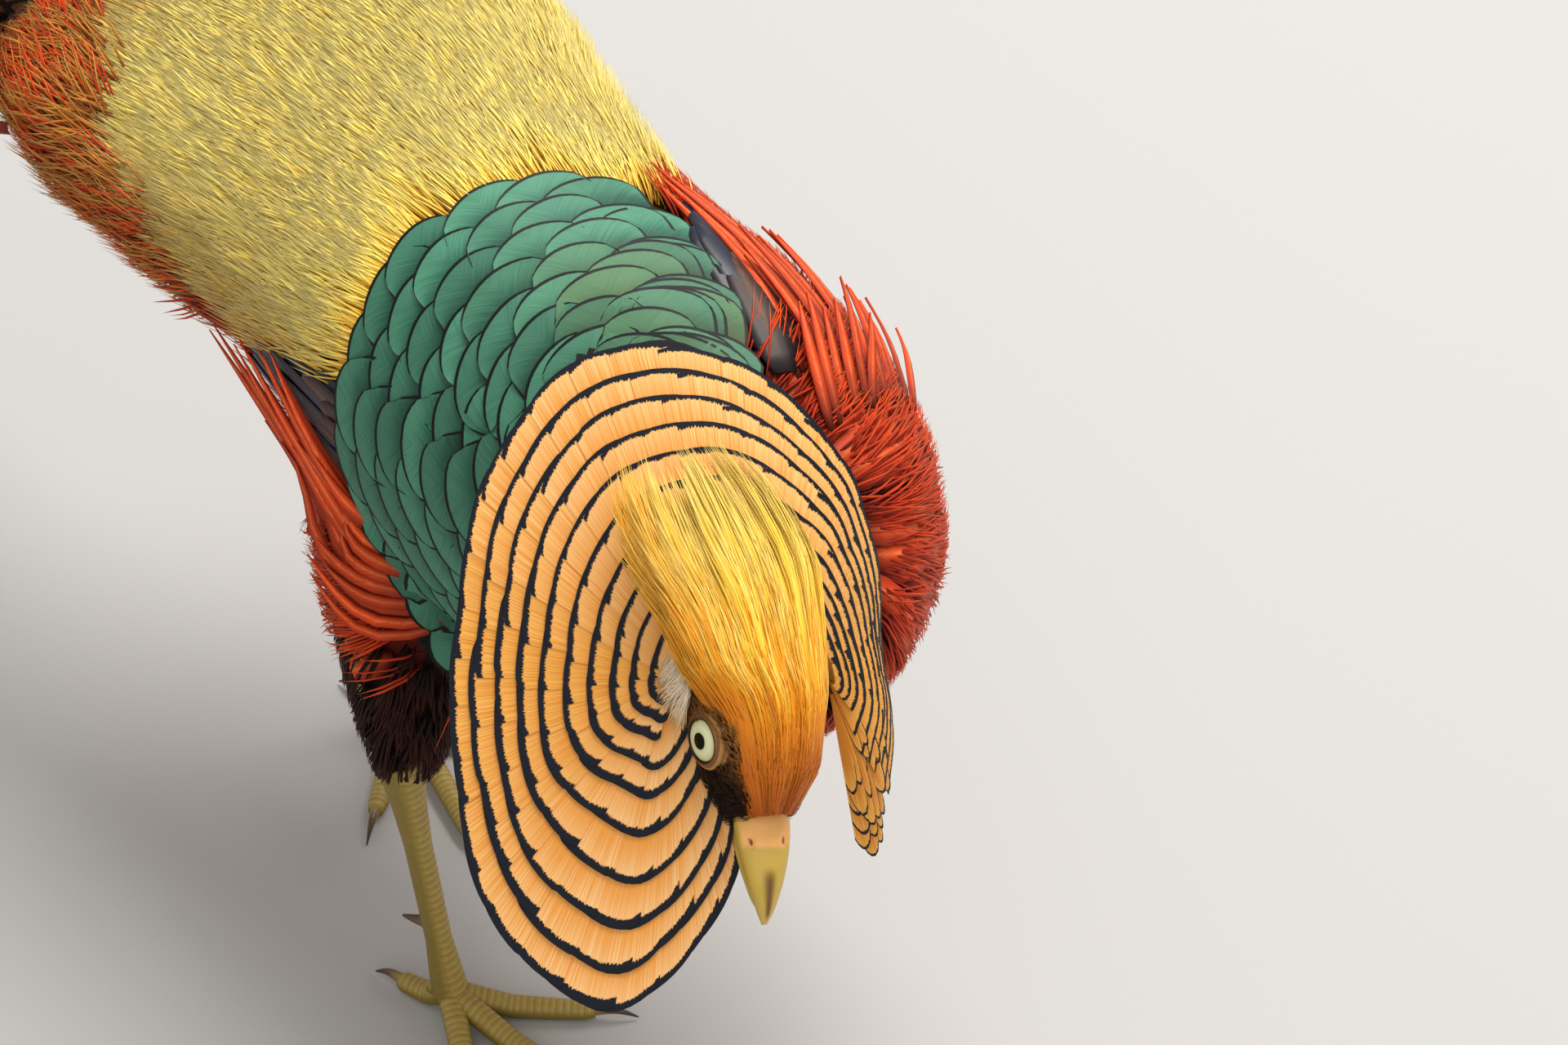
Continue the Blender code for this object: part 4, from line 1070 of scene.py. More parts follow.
@dataclass
class Skin:
    """One skin over torso, neck, head and thighs, under the feathers by their depth."""

    tracts: Tracts
    flesh: tuple[str, ...] = ("torso", "neck", "head", "thigh_right", "thigh_left")
    voxel_mm: float = 2.4
    smoothing: int = 6
    torso_depth_mm: float = 3.0
    head_depth_mm: float = 0.9
    # The head's short feathers give way to the neck's long ones between these distances
    head_end_mm: tuple[float, float] = (20.0, 34.0)

    def merged(self) -> Piece:
        """The flesh solids made one closed, even mesh."""
        meshes = [bpy.data.objects[name].data for name in self.flesh]
        counts = np.cumsum([0] + [len(m.vertices) for m in meshes])
        points = [tuple(v.co) for m in meshes for v in m.vertices]
        faces = [tuple((k + v for v in p.vertices)) for m, k in zip(meshes, counts) for p in m.polygons]
        mesh = bpy.data.meshes.new("flesh")
        mesh.from_pydata(points, [], faces)
        made = bpy.data.objects.new("skin", mesh)
        bpy.context.scene.collection.objects.link(made)
        remesh = made.modifiers.new("even", "REMESH")
        remesh.mode, remesh.voxel_size = "VOXEL", self.voxel_mm * MM
        smooth = made.modifiers.new("soft", "SMOOTH")
        smooth.factor, smooth.iterations = 0.5, self.smoothing
        graph = bpy.context.evaluated_depsgraph_get()
        made.data = bpy.data.meshes.new_from_object(made.evaluated_get(graph))
        made.modifiers.clear()
        return made

    def build(self) -> Surface:
        """Makes the skin.

        Returns:
            The surface at the plumage's outer level, which feathers are laid on.
        """
        made = self.merged()
        outer = Surface.of(made)
        normals = np.array([tuple(v.normal) for v in made.data.vertices])
        head = self.tracts.stance.head()
        from_head = np.linalg.norm(outer.points - head.centre, axis=1) / MM
        deeper = (self.torso_depth_mm - self.head_depth_mm) * smooth_step(*self.head_end_mm, from_head)
        depth = self.head_depth_mm + deeper
        inner = outer.points - normals * (depth * MM)[:, None]
        made.data.vertices.foreach_set("co", inner.ravel())
        made.data.shade_smooth()
        torso = self.tracts.torso_part(outer.points)
        values = {
            "gold": self.tracts.gold(outer.points) * torso,
            "green": self.tracts.mantle(outer.points) * smooth_step(42, 50, from_head),
            "navy": self.tracts.dark(outer.points), "tan": 1 - smooth_step(36, 46, from_head),
            "chestnut": self.tracts.chestnut(outer.points),
        }
        carry(made.data, values, body_chart(self.tracts, outer.points))
        made.data.materials.append(DownFinish("skin under down", Gloss(0.8, 0.2)).material())
        set_in_place(made, "scarlet", *self.flesh)
        return outer


def body_chart(tracts: Tracts, points: Array) -> Array:
    """The unwrap of the body: turn round it by distance along it."""
    along, around = tracts.locate(points)
    return np.stack([(around + 180) / 360, np.clip((along + 200) / 380, 0, 1)], axis=1)


@dataclass
class Coat:
    """Soft plumage in one tract: feathers of a few loose barbs each, laid along the skin."""

    name: str
    slot: str
    finish: Finish
    feathers: int
    seed: int
    length_mm: tuple[float, float]
    half_width_mm: tuple[float, float]
    lifts: Row
    # A plume's barbs are drawn coarser than life, where they number some hundreds
    barbs: int = 5
    spread_mm: float = 1.1
    fan: float = 0.16
    ruffle: float = 0.6
    swerve: float = 0.12
    taper: Row = (0.7, 1.0, 0.8, 0.3)

    def build(
        self, surface: Surface, mask: Field, flow: Field, chart: Field,
        tint: Field | None = None, extra_lift: Field | None = None,
    ) -> None:
        """Grows the tract.

        Args:
            surface: what it grows on.
            mask: from 0 to 1, how densely it grows at any points.
            flow: the lie of its feathers.
            chart: where points lie on the bake chart.
            tint: how far each feather's colour goes to the finish's other ramp.
            extra_lift: more ruffle at some roots, in millimetres.
        """
        draw = np.random.default_rng(self.seed + 7)
        stems = surface.sown(mask, self.feathers, self.seed)
        place, normal = surface.nearest(stems)
        heading = square_to(flow(place), normal)
        side = np.cross(normal, heading)
        k = np.linspace(-1, 1, self.barbs)[None] + draw.normal(0, 0.18, (len(stems), self.barbs))
        roots = place[:, None] + side[:, None] * (k * self.spread_mm * MM)[..., None]
        roots = roots + heading[:, None] * (-0.12 * np.abs(k) * self.length_mm[0] * MM)[..., None]
        roots = roots.reshape(-1, 3)
        lengths = draw.uniform(*self.length_mm, (len(stems), 1)) * (1 - 0.16 * k * k)
        lengths = (lengths * draw.uniform(0.9, 1.08, k.shape)).ravel() * MM
        turn = (draw.normal(0, self.swerve, (len(stems), 1)) + k * self.fan).ravel()
        number = len(roots)
        rise = np.abs(draw.normal(0, self.ruffle, (len(stems), 1)))
        if extra_lift is not None:
            rise = rise + extra_lift(stems)[:, None] * draw.uniform(0.3, 1.3, (len(stems), 1))
        rise = np.broadcast_to(rise * (1 - 0.15 * k * k), k.shape).reshape(-1, 1)
        steps = np.linspace(0, 1, len(self.lifts))
        lift = np.array(self.lifts)[None] + steps[None] ** 1.6 * rise + draw.normal(0, 0.12, (number, 1))
        path, normals = surface.lay(roots, flow, lengths, list(lift.T), turn)
        widths = np.outer(draw.uniform(*self.half_width_mm, number), self.taper) * MM
        shade = 0.65 * np.repeat(draw.random(len(stems)), self.barbs) + 0.35 * draw.random(number)
        values = {
            "seed": shade,
            "tint": np.repeat(tint(stems), self.barbs) if tint is not None else np.zeros(number),
        }
        soup = blades(path, normals, widths, 0.35, chart(roots), values)
        soup.place(self.name, self.finish, self.slot)


@dataclass
class Mantle:
    """The rounded green feathers of the upper back, in rows like scales."""

    tracts: Tracts
    rows: int = 10
    row_step_mm: float = 8.6
    pitch_mm: float = 15.0
    length_mm: float = 25.0
    half_width_mm: float = 14.0
    # The cape and the crest cover the feathers this near the head, which would stand through them
    clear_mm: float = 40.0
    # The feathers over the wing stand this much higher, to lie over its coverts
    over_wing_mm: float = 1.8
    outline: Row = (0.4, 0.7, 0.9, 1.0, 1.02, 1.0, 0.97, 0.92)

    def build(self, surface: Surface) -> None:
        """Lays the rows from the rear edge forward to the neck."""
        draw = np.random.default_rng(31)
        edge = np.array([self.tracts.spot(surface, *place)[0] for place in self.tracts.mantle_edge])
        reach = run_along(edge)
        line = between(np.linspace(0, reach[-1], 160), reach, edge)

        def forward(points: Array) -> Array:
            """From the rear edge towards the root of the neck."""
            return -self.tracts.flow(points)

        span = self.rows * self.row_step_mm
        paths, _ = surface.lay(line, forward, np.full(len(line), span * MM), [0.0] * (self.rows + 1))
        tips, spins = [], []
        for row in range(self.rows):
            points = paths[:, row]
            run = run_along(points)
            number = max(6, round(run[-1] / (self.pitch_mm * MM)))
            at = (np.arange(number) + (0.25 if row % 2 else 0.75)) / number * run[-1]
            at = at + draw.normal(0, 0.1, number) * self.pitch_mm * MM
            tips.append(between(at, run, points))
            spins.append(draw.normal(0, 0.05, number))
        tips, spins = np.concatenate(tips), np.concatenate(spins)
        from_head = np.linalg.norm(tips - self.tracts.stance.head().centre, axis=1)
        clear = from_head > self.clear_mm * MM
        tips, spins = tips[clear], spins[clear]
        number, stations = len(tips), len(self.outline)
        _, around = self.tracts.locate(tips)
        over_wing = self.over_wing_mm * smooth_step(-52, -72, around)
        lifts = (
            np.linspace(1.6, -1.6, stations)[None] + over_wing[:, None]
            + draw.uniform(-0.05, 0.05, (number, 1))
        )
        lengths = draw.uniform(0.94, 1.12, number) * self.length_mm * MM
        path, normals = surface.lay(tips, forward, lengths, list(lifts.T), spins)
        path, normals = path[:, ::-1], normals[:, ::-1]
        size = draw.uniform(0.88, 1.06, number) * (1 - 0.35 * smooth_step(-95, -125, around))
        widths = np.outer(size, self.outline) * self.half_width_mm * MM
        shape = VaneShape(13, 0.15, camber_mm=0.18, tip_drop_mm=0.0, tilt_mm=0.42, round_mm=8.5)
        lean = -1 + 2 * smooth_step(-16, 8, around)
        near_neck = np.linalg.norm(tips - self.tracts.middle(), axis=1) / MM
        tint = smooth_step(46, 26, near_neck) * smooth_step(-30, 5, around) * draw.uniform(0.2, 1.0, number)
        soup = vanes(
            path, normals, widths, shape, {"seed": draw.random(number), "tint": tint}, surface, lean,
        )
        finish = ScaleFinish("green mantle feather, structural colour", Gloss(0.55, 0.22))
        soup.place("mantle_feathers", finish, "cape", crisp=True)


@dataclass(frozen=True)
class CapePart:
    """A stretch of the cape's rim and how its feathers sit there."""

    first: float
    last: float
    levels: int
    count: int
    overlap: float = 1.75
    drop_mm: float = 0.45
    corner_mm: float = 0.6
    jitter: float = 0.006


@dataclass
class Cape:
    """The barred cape, spread as a fan round the face: rows of blunt feathers, the short ones on top."""

    stance: Stance
    # The line that the cape grows from, over the nape, in the fan's axes and millimetres
    yoke: Table = ((0, 0, 0), (6, 12, 5), (16, 18.5, 5), (29.5, 15, -1), (36, 0, -11))
    # Round the fan: direction, place on the yoke, feather length, fall behind the fan's plane
    stations: Table = (
        (297, 0, 37, 0), (289, 0, 47.5, 0), (278, 0, 59.5, 0), (268, 0, 71, 0), (259, 0, 78, 0),
        (247, 0, 75, 0), (235, 0, 69.5, 0), (213, 0, 57.5, 0), (195, 0, 52, 0), (180, 0, 50.5, 0),
        (165, 0.01, 51, 0), (150, 0.02, 55, 0), (131, 0.08, 63.5, 3), (112, 0.22, 68.5, 8),
        (93, 0.45, 57.5, 14), (80, 0.58, 46.5, 18), (70, 0.68, 39.5, 24), (58, 0.78, 34, 37),
        (30, 0.92, 31, 58), (0, 0.97, 32, 64), (-30, 1, 37, 62), (-54, 1, 42, 52), (-66, 1, 52, 47),
        (-73, 1, 64, 44), (-80, 1, 60, 44),
    )
    # Where each row's tips lie, as shares of the way to the rim: at the fan's side and at its foot
    side_reaches: Row = (1.0, 0.9, 0.8, 0.7, 0.595, 0.485, 0.375, 0.275, 0.185, 0.1)
    foot_reaches: Row = (1.0, 0.875, 0.755, 0.615, 0.475, 0.36, 0.27, 0.19, 0.13, 0.08)
    parts: tuple[CapePart, ...] = (
        CapePart(0, 0.64, 7, 22), CapePart(0.12, 0.5, 10, 14), CapePart(0.64, 0.93, 7, 10),
        CapePart(0.66, 0.9, 10, 9),
        CapePart(0.9, 1, 6, 5, overlap=1.1, drop_mm=8, corner_mm=1, jitter=0.07),
    )
    lowest_mm: float = -2.6
    tier_mm: float = 0.56
    shown_mm: float = 26.0
    thickness_mm: float = 0.2
    columns: int = 9
    outline: Row = (0.8, 0.94, 1.0, 1.0, 1.0, 1.0, 1.0, 1.0)

    def yoke_point(self, share: Array) -> Array:
        """Points of the yoke at shares of its run."""
        places = between(share, np.linspace(0, 1, 41), eased(self.yoke, 41))
        return self.stance.fan().point(*np.moveaxis(places, -1, 0))

    def sheet(self, rows: Array, shares: Array, lift_mm: Array) -> tuple[Array, Array]:
        """Points and normals of the cape's sheet.

        Args:
            rows: a station for each point, ... x 4.
            shares: each point's share of the way to the rim.
            lift_mm: height over the sheet.

        Returns:
            Points and normals, ... x 3.
        """
        fan = self.stance.fan()
        direction = np.radians(rows[..., 0])[..., None]
        heading = np.cos(direction) * fan.first + np.sin(direction) * fan.second
        bend = 0.6 * np.radians(np.maximum(rows[..., 3], 0.05))
        slope = (bend * (1 + shares))[..., None]
        run = (np.sin(slope) - np.sin(bend)[..., None]) / bend[..., None]
        fall = (np.cos(bend)[..., None] - np.cos(slope)) / bend[..., None]
        points = self.yoke_point(rows[..., 1]) + (run * heading - fall * fan.third) * rows[..., 2:3] * MM
        normals = np.cos(slope) * fan.third + np.sin(slope) * heading
        return points + normals * (lift_mm * MM)[..., None], normals

    def rim(self) -> tuple[Array, Array, float]:
        """Places along the cape's rim from 0 to 1, the stations there and the rim's length."""
        fine = eased(self.stations, 241, np.arange(len(self.stations)))
        fine[:, 1] = np.clip(fine[:, 1], 0, 1)
        tips, _ = self.sheet(fine, np.ones(len(fine)), np.zeros(len(fine)))
        along = run_along(tips)
        return along / along[-1], fine, along[-1] / MM

    def row(self, part: CapePart, level: int, draw: np.random.Generator) -> tuple[Array, ...]:
        """One row of feathers, each moulded to the sheet.

        Args:
            part: the stretch of the rim.
            level: the row's number, 0 for the longest.
            draw: the seeded source of variation.

        Returns:
            Grids of the outer and inner faces, of the distances to tip and shaft, and bars, tints, seeds.
        """
        along, fine, around_mm = self.rim()

        def station(g: Array) -> Array:
            """Stations at places along the rim."""
            return between(np.clip(g, 0, 1), along, fine)

        def reach(rows: Array) -> Array:
            """How far out the row's tips lie in each direction."""
            foot = smooth_step(205, 250, rows[..., 0])
            return self.side_reaches[level] + (self.foot_reaches[level] - self.side_reaches[level]) * foot

        number = max(4, round(part.count * (0.3 + 0.7 * self.side_reaches[level])))
        cell = (part.last - part.first) / number
        middle = (
            part.first + (np.arange(number) + 0.5 + 0.5 * (level % 2)) * cell
            + draw.normal(0, 0.1, number) * cell
        )
        middle = np.clip(middle, part.first + 0.25 * cell, part.last - 0.25 * cell)
        u = np.linspace(-1, 1, self.columns)
        steps = np.linspace(0, 1, len(self.outline))
        g = middle[:, None, None] + cell / 2 * part.overlap * np.array(self.outline)[None, :, None] * u
        g = np.clip(g, max(0.0, part.first - cell * 0.3), min(1.0, part.last + cell * 0.3))
        rows = station(g)
        length = rows[..., 2]
        tip = reach(rows) * (1 + draw.normal(0, part.jitter, number))[:, None, None]
        tip = tip - (part.drop_mm * u**2 + part.corner_mm * u**8) / length
        centre = station(middle)
        start = np.maximum(0.02, reach(centre) - self.shown_mm / centre[:, 2])[:, None, None]
        shares = start + np.maximum(tip - start, 0.02) * steps[None, :, None]
        lift = self.lowest_mm + self.tier_mm * level - 0.2 * u + 0.08 * (1 - u * u)
        lift = np.broadcast_to(lift, g.shape)
        outer, _ = self.sheet(rows, shares, lift)
        inner, _ = self.sheet(rows, shares, lift - self.thickness_mm)
        direction = centre[:, 0]
        bars = np.interp(direction, (58, 112, 180, 215, 260), (1.15, 1.25, 1.45, 1.9, 2.15))
        bars = bars * draw.uniform(0.85, 1.15, number)
        tints = np.interp(direction, (0, 80, 120, 160, 205, 250), (0.1, 0.6, 0.75, 0.15, 0.3, 1.0))
        tip_mm = (tip - shares) * length
        side_mm = (g - middle[:, None, None]) * around_mm
        return outer, inner, tip_mm, side_mm, bars, tints, draw.random(number)

    def feathers(self, parts: Sequence[CapePart], seed: int) -> Soup:
        """The rows of some parts as one mesh."""
        draw = np.random.default_rng(seed)
        made = []
        for part in parts:
            inner_rows = part.levels == len(self.side_reaches)
            levels = range(7, part.levels) if inner_rows else range(part.levels)
            made += [self.row(part, level, draw) for level in levels]
        outer, inner, tip, side, bars, tints, seeds = (
            np.concatenate([m[k] for m in made]) for k in range(7)
        )
        return plates(outer, inner, tip, side, {"seed": seeds, "bar": bars, "tint": tints})

    def tuft(self) -> Soup:
        """The small white ear feathers and the pale shafts along the fan's front margin."""
        draw = np.random.default_rng(15)
        fan = self.stance.fan()
        share = np.linspace(0, 1, 6)[None]
        # For each group: count; where it starts and ends, with their spread; half width
        groups = (
            (12, (4.2, -1.8, 3.9), (0.4, 0.7), (1.9, -8.6, 2.9), (0.9, 1.2), 0.6),
            (90, (4.3, -1.6, 4.4), (0.4, 0.9), (1.8, -8.8, 3.3), (1.1, 1.5), 0.17),
            (14, (3.6, 0.8, 3.6), (0.5, 1.2), (-0.6, -4, 2.6), (1, 1.4), 0.6),
            (80, (3.7, 0.9, 4.1), (0.5, 1.3), (-0.9, -4.2, 3), (1.2, 1.7), 0.16),
            (14, (2.8, 6.2, 3.4), (0.6, 1.4), (-1.6, -0.8, 2.4), (0.8, 1.3), 0.6),
            (70, (2.8, 6.4, 3.8), (0.7, 1.6), (-1.8, -1, 2.8), (0.9, 1.6), 0.16),
        )
        path, widths = [], []
        for count, start, spread, end, reach, half in groups:
            first = np.array(start) + draw.normal(0, 1, (count, 3)) * (*spread, 0.15)
            last = np.array(end) + draw.normal(0, 1, (count, 3)) * (*reach, 0.25)
            line = first[:, None] + (last - first)[:, None] * share[..., None]
            path.append(fan.point(line[..., 0], line[..., 1], line[..., 2] + 0.7 * np.sin(np.pi * share)))
            widths.append(np.outer(draw.uniform(0.7, 1.2, count) * half, (0.8, 1, 1, 0.9, 0.6, 0.2)) * MM)
        path, widths = np.concatenate(path), np.concatenate(widths)
        normals = np.broadcast_to(fan.third, path.shape)
        return blades(
            path, normals, widths, 0.5, draw.random((len(path), 2)), {"seed": draw.random(len(path))},
        )

    def build(self) -> None:
        """Makes the cape's two sides and the tuft before it."""
        finish = BarredFinish("orange barred cape feather", Gloss(0.55, 0.22))
        for name, parts, seed in (("right", self.parts[:2], 11), ("left", self.parts[2:], 12)):
            soup = self.feathers(parts, seed)
            soup.place("cape_feathers_" + name, finish, "cape", "cape_" + name, crisp=True)
        cream = PlumeFinish(
            "cream ear tuft", Gloss(0.55, 0.2), ramp=((0, "#FFF0D8"), (0.55, "#FFEBCB"), (1, "#FFD9A0")),
        )
        self.tuft().place("ear_tuft", cream, "cape")


@dataclass
class Crest:
    """The silky golden crest: fine strands from the forehead over the crown, swept to the right behind."""

    stance: Stance
    # Along the head: forward, shift to the right, half width, height of the top, depth of the sides
    form: Table = (
        (18, -0.75, 4.8, 7.5, 4.5), (14, -1.3, 6.9, 11, 7.5), (9, -1.65, 9.5, 15, 10),
        (0, -1.65, 11, 19, 13), (-8, -1.1, 13.2, 20.2, 14), (-16, 1.4, 16.2, 20.4, 14),
        (-24, 2.5, 17.4, 20, 13), (-32, 3.8, 18.7, 19.2, 12.5), (-40, 6, 20.2, 18.4, 12),
        (-50, 9.3, 19.5, 17.2, 10), (-58, 12, 18, 16, 8), (-68, 16, 14, 15, 6),
    )
    count: int = 13600
    clear_mm: float = 4.4
    locks: int = 23

    def frame(self, forward: Array) -> list[Array]:
        """Shift, half width, top and side depth at distances along the head."""
        table = eased(self.form, 60)[::-1]
        return [np.interp(forward, table[:, 0], table[:, k]) for k in range(1, 5)]

    def strands(self, count: int, seed: int) -> tuple[Array, ...]:
        """Middle lines, normals, start places and turns of strands over the crown."""
        draw = np.random.default_rng(seed)
        stations = np.linspace(0, 1, 6)[None]
        start = 18.0 - 46.0 * draw.random(count) ** 1.1
        turn = np.radians(draw.uniform(-90, 90, count))
        index = np.floor((turn / math.pi + 0.5) * self.locks).astype(int).clip(0, self.locks - 1)
        lock = (index + 0.5) / self.locks * math.pi - math.pi / 2
        lot = np.random.default_rng(5).uniform(-1, 1, (3, self.locks))[:, index]
        rear = smooth_step(2, -24, start)
        outer = smooth_step(0.2, 1.3, turn)
        end = (
            draw.uniform(-42, -12, count) * (1 - rear)
            + rear * (draw.uniform(-67, -42, count) + 4.0 * lot[0])
        )
        end = (
            end + 12.0 * np.abs(turn / 1.6) ** 3 * rear * (turn < 0)
            + 11.0 * outer * rear * draw.random(count)
        )
        forward = start[:, None] + (np.minimum(end, start - 16) - start)[:, None] * stations
        shift, half, top, depth = self.frame(forward)
        pull = 0.85 * smooth_step(-14, -50, forward) * stations
        wander = (
            turn[:, None] + (lock - turn)[:, None] * pull + draw.normal(0, 0.04, count)[:, None] * stations
        )
        layer = draw.uniform(-1.9, 0.9, count)[:, None] * (0.3 + 0.7 * stations)
        wave = 0.4 * np.sin(9 * turn[:, None] + 2.0 * stations * np.sin(4 * turn[:, None]))
        wave = wave + 1.3 * lot[1][:, None] * smooth_step(-12, -50, forward)
        radius = 1 + (layer + wave) / 17
        flare = outer * (0.5 + 3.5 * draw.random(count) ** 2) * smooth_step(-4, -40, end)
        right = shift + half * np.sin(wander) * radius + flare[:, None] * stations**2.5
        up = top - depth * (1 - np.cos(wander)) + (layer + wave) * np.cos(wander)
        head, fan = self.stance.head(), self.stance.fan()
        path = head.point(forward, right, up)
        over = ((path - fan.centre) * fan.third).sum(-1) / MM
        behind = smooth_step(-14, -26, forward) * smooth_step(-6, 4, right)
        lack = np.maximum(0, self.clear_mm + 0.5 * (layer + 2) - over) * behind
        path = path + (lack * MM)[..., None] * fan.third
        normals = unit(np.sin(wander)[..., None] * head.second + np.cos(wander)[..., None] * head.third)
        return path, normals, start, turn

    def build(self) -> None:
        """Makes the crest in two pieces of fine strands."""
        finish = PlumeFinish(
            "golden silk crest feather", Gloss(0.42, 0.3),
            ramp=((0, "#EFA01A"), (0.25, "#FFC62E"), (0.6, "#FFD74E"), (1, "#FFE382")),
            other=((0, "#BE5C04"), (0.35, "#E27E08"), (0.75, "#F8A214"), (1, "#FFC43A")), spread=0.16,
        )
        for part, nodes in ((1, ("crest",)), (2, ())):
            path, normals, start, turn = self.strands(self.count // 2, 20 + part)
            draw = np.random.default_rng(22 + part)
            widths = np.outer(draw.uniform(0.22, 0.44, len(path)), (0.7, 1, 1, 0.85, 0.6, 0.2)) * MM
            roots = np.stack([turn / math.pi + 0.5, np.clip((start + 30) / 50, 0, 1)], 1)
            front = smooth_step(-4, 11, start + draw.normal(0, 3.0, len(start)))
            front = np.maximum(front, smooth_step(0.45, 1.2, turn) * draw.uniform(0.3, 0.95, len(turn)))
            soup = blades(
                path, normals, widths, 0.5, roots, {"seed": draw.random(len(path)), "tint": front},
            )
            soup.place(f"crest_silk_{part}", finish, "gold", *nodes)


@dataclass(frozen=True)
class EyeFinish(Finish):
    """A wet eye: black pupil, pale yellow-green iris with fine rays, dark rim and brown skin round it."""

    def colour(self, tree: Tree) -> Socket:
        """Rings by the angle from the eye's axis, in degrees over 90."""
        turn = self.read(tree, "turn")
        place = add_node(tree, "TexCoord", out="Object")
        rays = add_node(tree, "TexNoise", {"Vector": place, "Scale": 2600.0, "Detail": 2.0})
        moved = add_node(tree, "Math", {0: rays, 1: 0.02, 2: turn}, operation="MULTIPLY_ADD")
        stops = (
            (0, "#050506"), (0.245, "#050506"), (0.262, "#9A9A60"), (0.28, "#E0E4AE"), (0.42, "#ECEFC4"),
            (0.6, "#D6DA9C"), (0.635, "#6A5A30"), (0.66, "#20140C"), (1, "#1A100A"),
        )
        return add_node(tree, "ValToRGB", {"Fac": moved}, stops=stops)


@dataclass(frozen=True)
class SkinFinish(Finish):
    """Bare skin and horn: a colour from one value that each point carries, mottled finely."""

    stops: Stops = ((0, "#B9852F"), (1, "#D9A03C"))
    grain_mm: float = 0.5
    mottle: float = 0.18

    def colour(self, tree: Tree) -> Socket:
        """The ramp with a fine mottle."""
        ramp = add_node(tree, "ValToRGB", {"Fac": self.read(tree, "tone")}, stops=self.stops)
        return self.varied(tree, ramp, self.grain(tree), 1 - self.mottle, 1 + self.mottle)

    def grain(self, tree: Tree) -> Socket:
        """Fine noise at the skin's own grain."""
        place = add_node(tree, "TexCoord", out="Object")
        scale = 1 / (self.grain_mm * MM) / 3
        return add_node(tree, "TexNoise", {"Vector": place, "Scale": scale, "Detail": 3.0})

    def height(self, tree: Tree) -> Socket | None:
        """The same grain as relief."""
        return self.grain(tree)

    def relief(self) -> float:
        """Skin grain is shallow."""
        return 0.15


class Side(Enum):
    """The bird's two sides, by their sign along the head's way to the right."""

    RIGHT = 1
    LEFT = -1

    @property
    def word(self) -> str:
        """The side as the pieces' names have it."""
        return self.name.lower()


@dataclass
class Eyes:
    """Eyeballs with a flat iris under a low wet dome, and their lids."""

    stance: Stance
    radius_mm: float = 6.0
    iris_mm: float = 4.9
    # How far the wet dome stands before the eyeball's middle, and how much of that is its bulge
    dome_mm: float = 4.75
    bulge_mm: float = 1.2
    # The share of the eye's colours that lies on the iris and its rim
    iris_share: float = 0.62
    # From under the rim outward: radius, height over the eye's middle, tone
    lid_profile: Table = (
        (4.5, 2.6, 0), (4.6, 3.5, 0), (4.95, 4.05, 0.12), (5.4, 3.9, 0.55), (6.2, 3.2, 0.85), (7, 2.2, 0.9),
        (7.8, 0.9, 0.75), (8.2, -0.6, 0.6), (8, -1.6, 0.5),
    )
    set_back_mm: float = 1.6

    def axis(self, side: Side) -> Array:
        """The way that an eye looks."""
        head = self.stance.head()
        return unit(side.value * head.second * 0.93 + head.first * 0.15 + head.third * 0.28)

    def centre(self, side: Side) -> Array:
        """The middle of an eyeball."""
        forward, out, up = self.stance.eye_mm
        return self.stance.head().point(forward - self.set_back_mm, side.value * out, up)

    def around(self, side: Side, count: int) -> Array:
        """Directions round an eye's axis."""
        axis = self.axis(side)
        across = unit(np.cross(axis, self.stance.head().third))
        turn = turns(count)
        return np.cos(turn)[:, None] * across + np.sin(turn)[:, None] * np.cross(across, axis)

    def build(self) -> None:
        """Makes both eyes."""
        for side in Side:
            self.ball(side)
            self.lid(side)

    def ball(self, side: Side) -> None:
        """An eyeball whose points carry their place from the iris's middle to its back."""
        front = np.linspace(0.02, 1, 34)
        back = np.linspace(math.asin(self.iris_mm / self.radius_mm), math.pi - 0.03, 26)[1:]
        out = np.r_[self.iris_mm * front, self.radius_mm * np.sin(back)]
        ahead = np.r_[self.dome_mm - self.bulge_mm * front**2, self.radius_mm * np.cos(back)]
        rest = (back - back[0]) / (back[-1] - back[0])
        turn = np.r_[self.iris_share * front, self.iris_share + (1 - self.iris_share) * rest]
        ring = self.around(side, 72)
        rings = out[:, None, None] * ring[None] + ahead[:, None, None] * self.axis(side)
        soup = lofted(self.centre(side) + rings * MM, {"turn": turn[:, None]})
        finish = EyeFinish("wet eye", Gloss(0.3, 0.08, coat=0.18, coat_roughness=0.03, ior=1.38))
        soup.place("eyeball_" + side.word, finish, "iris", "eye_" + side.word)

    def lid(self, side: Side) -> None:
        """A rim of wrinkled skin over the eyeball's edge, and the bare skin round it, with painted shade in
        its creases.
        """
        axis, out = self.axis(side), self.around(side, 96)
        around = turns(96)
        rows = eased(self.lid_profile, 40)
        steps = np.linspace(0, 1, len(rows))[:, None]
        crease = np.sin(steps * 34 + 0.7 * np.sin(around * 3)[None]) * smooth_step(0.15, 0.4, steps)
        crease = 0.14 * crease + 0.05 * np.sin(around * 23)[None] * steps
        oval = 1 + 0.05 * np.cos(2 * around)[None]
        radius = rows[:, :1] * oval
        rings = out[None] * (radius * MM)[..., None] + axis * ((rows[:, 1:2] + crease) * MM)[..., None]
        # The tone follows the wrinkles' height: painted shade in the creases, lighter on the ridges.
        tone = np.broadcast_to(rows[:, 2:3], radius.shape) + 1.6 * crease
        stops = ((0, "#0C0705"), (0.3, "#3A2010"), (0.7, "#8C5C2C"), (1, "#B98648"))
        finish = SkinFinish("bare lid skin", Gloss(0.55, 0.3), stops=stops)
        soup = lofted(self.centre(side) + rings, {"tone": np.clip(tone, 0, 1)})
        soup.place("lid_" + side.word, finish, "face")


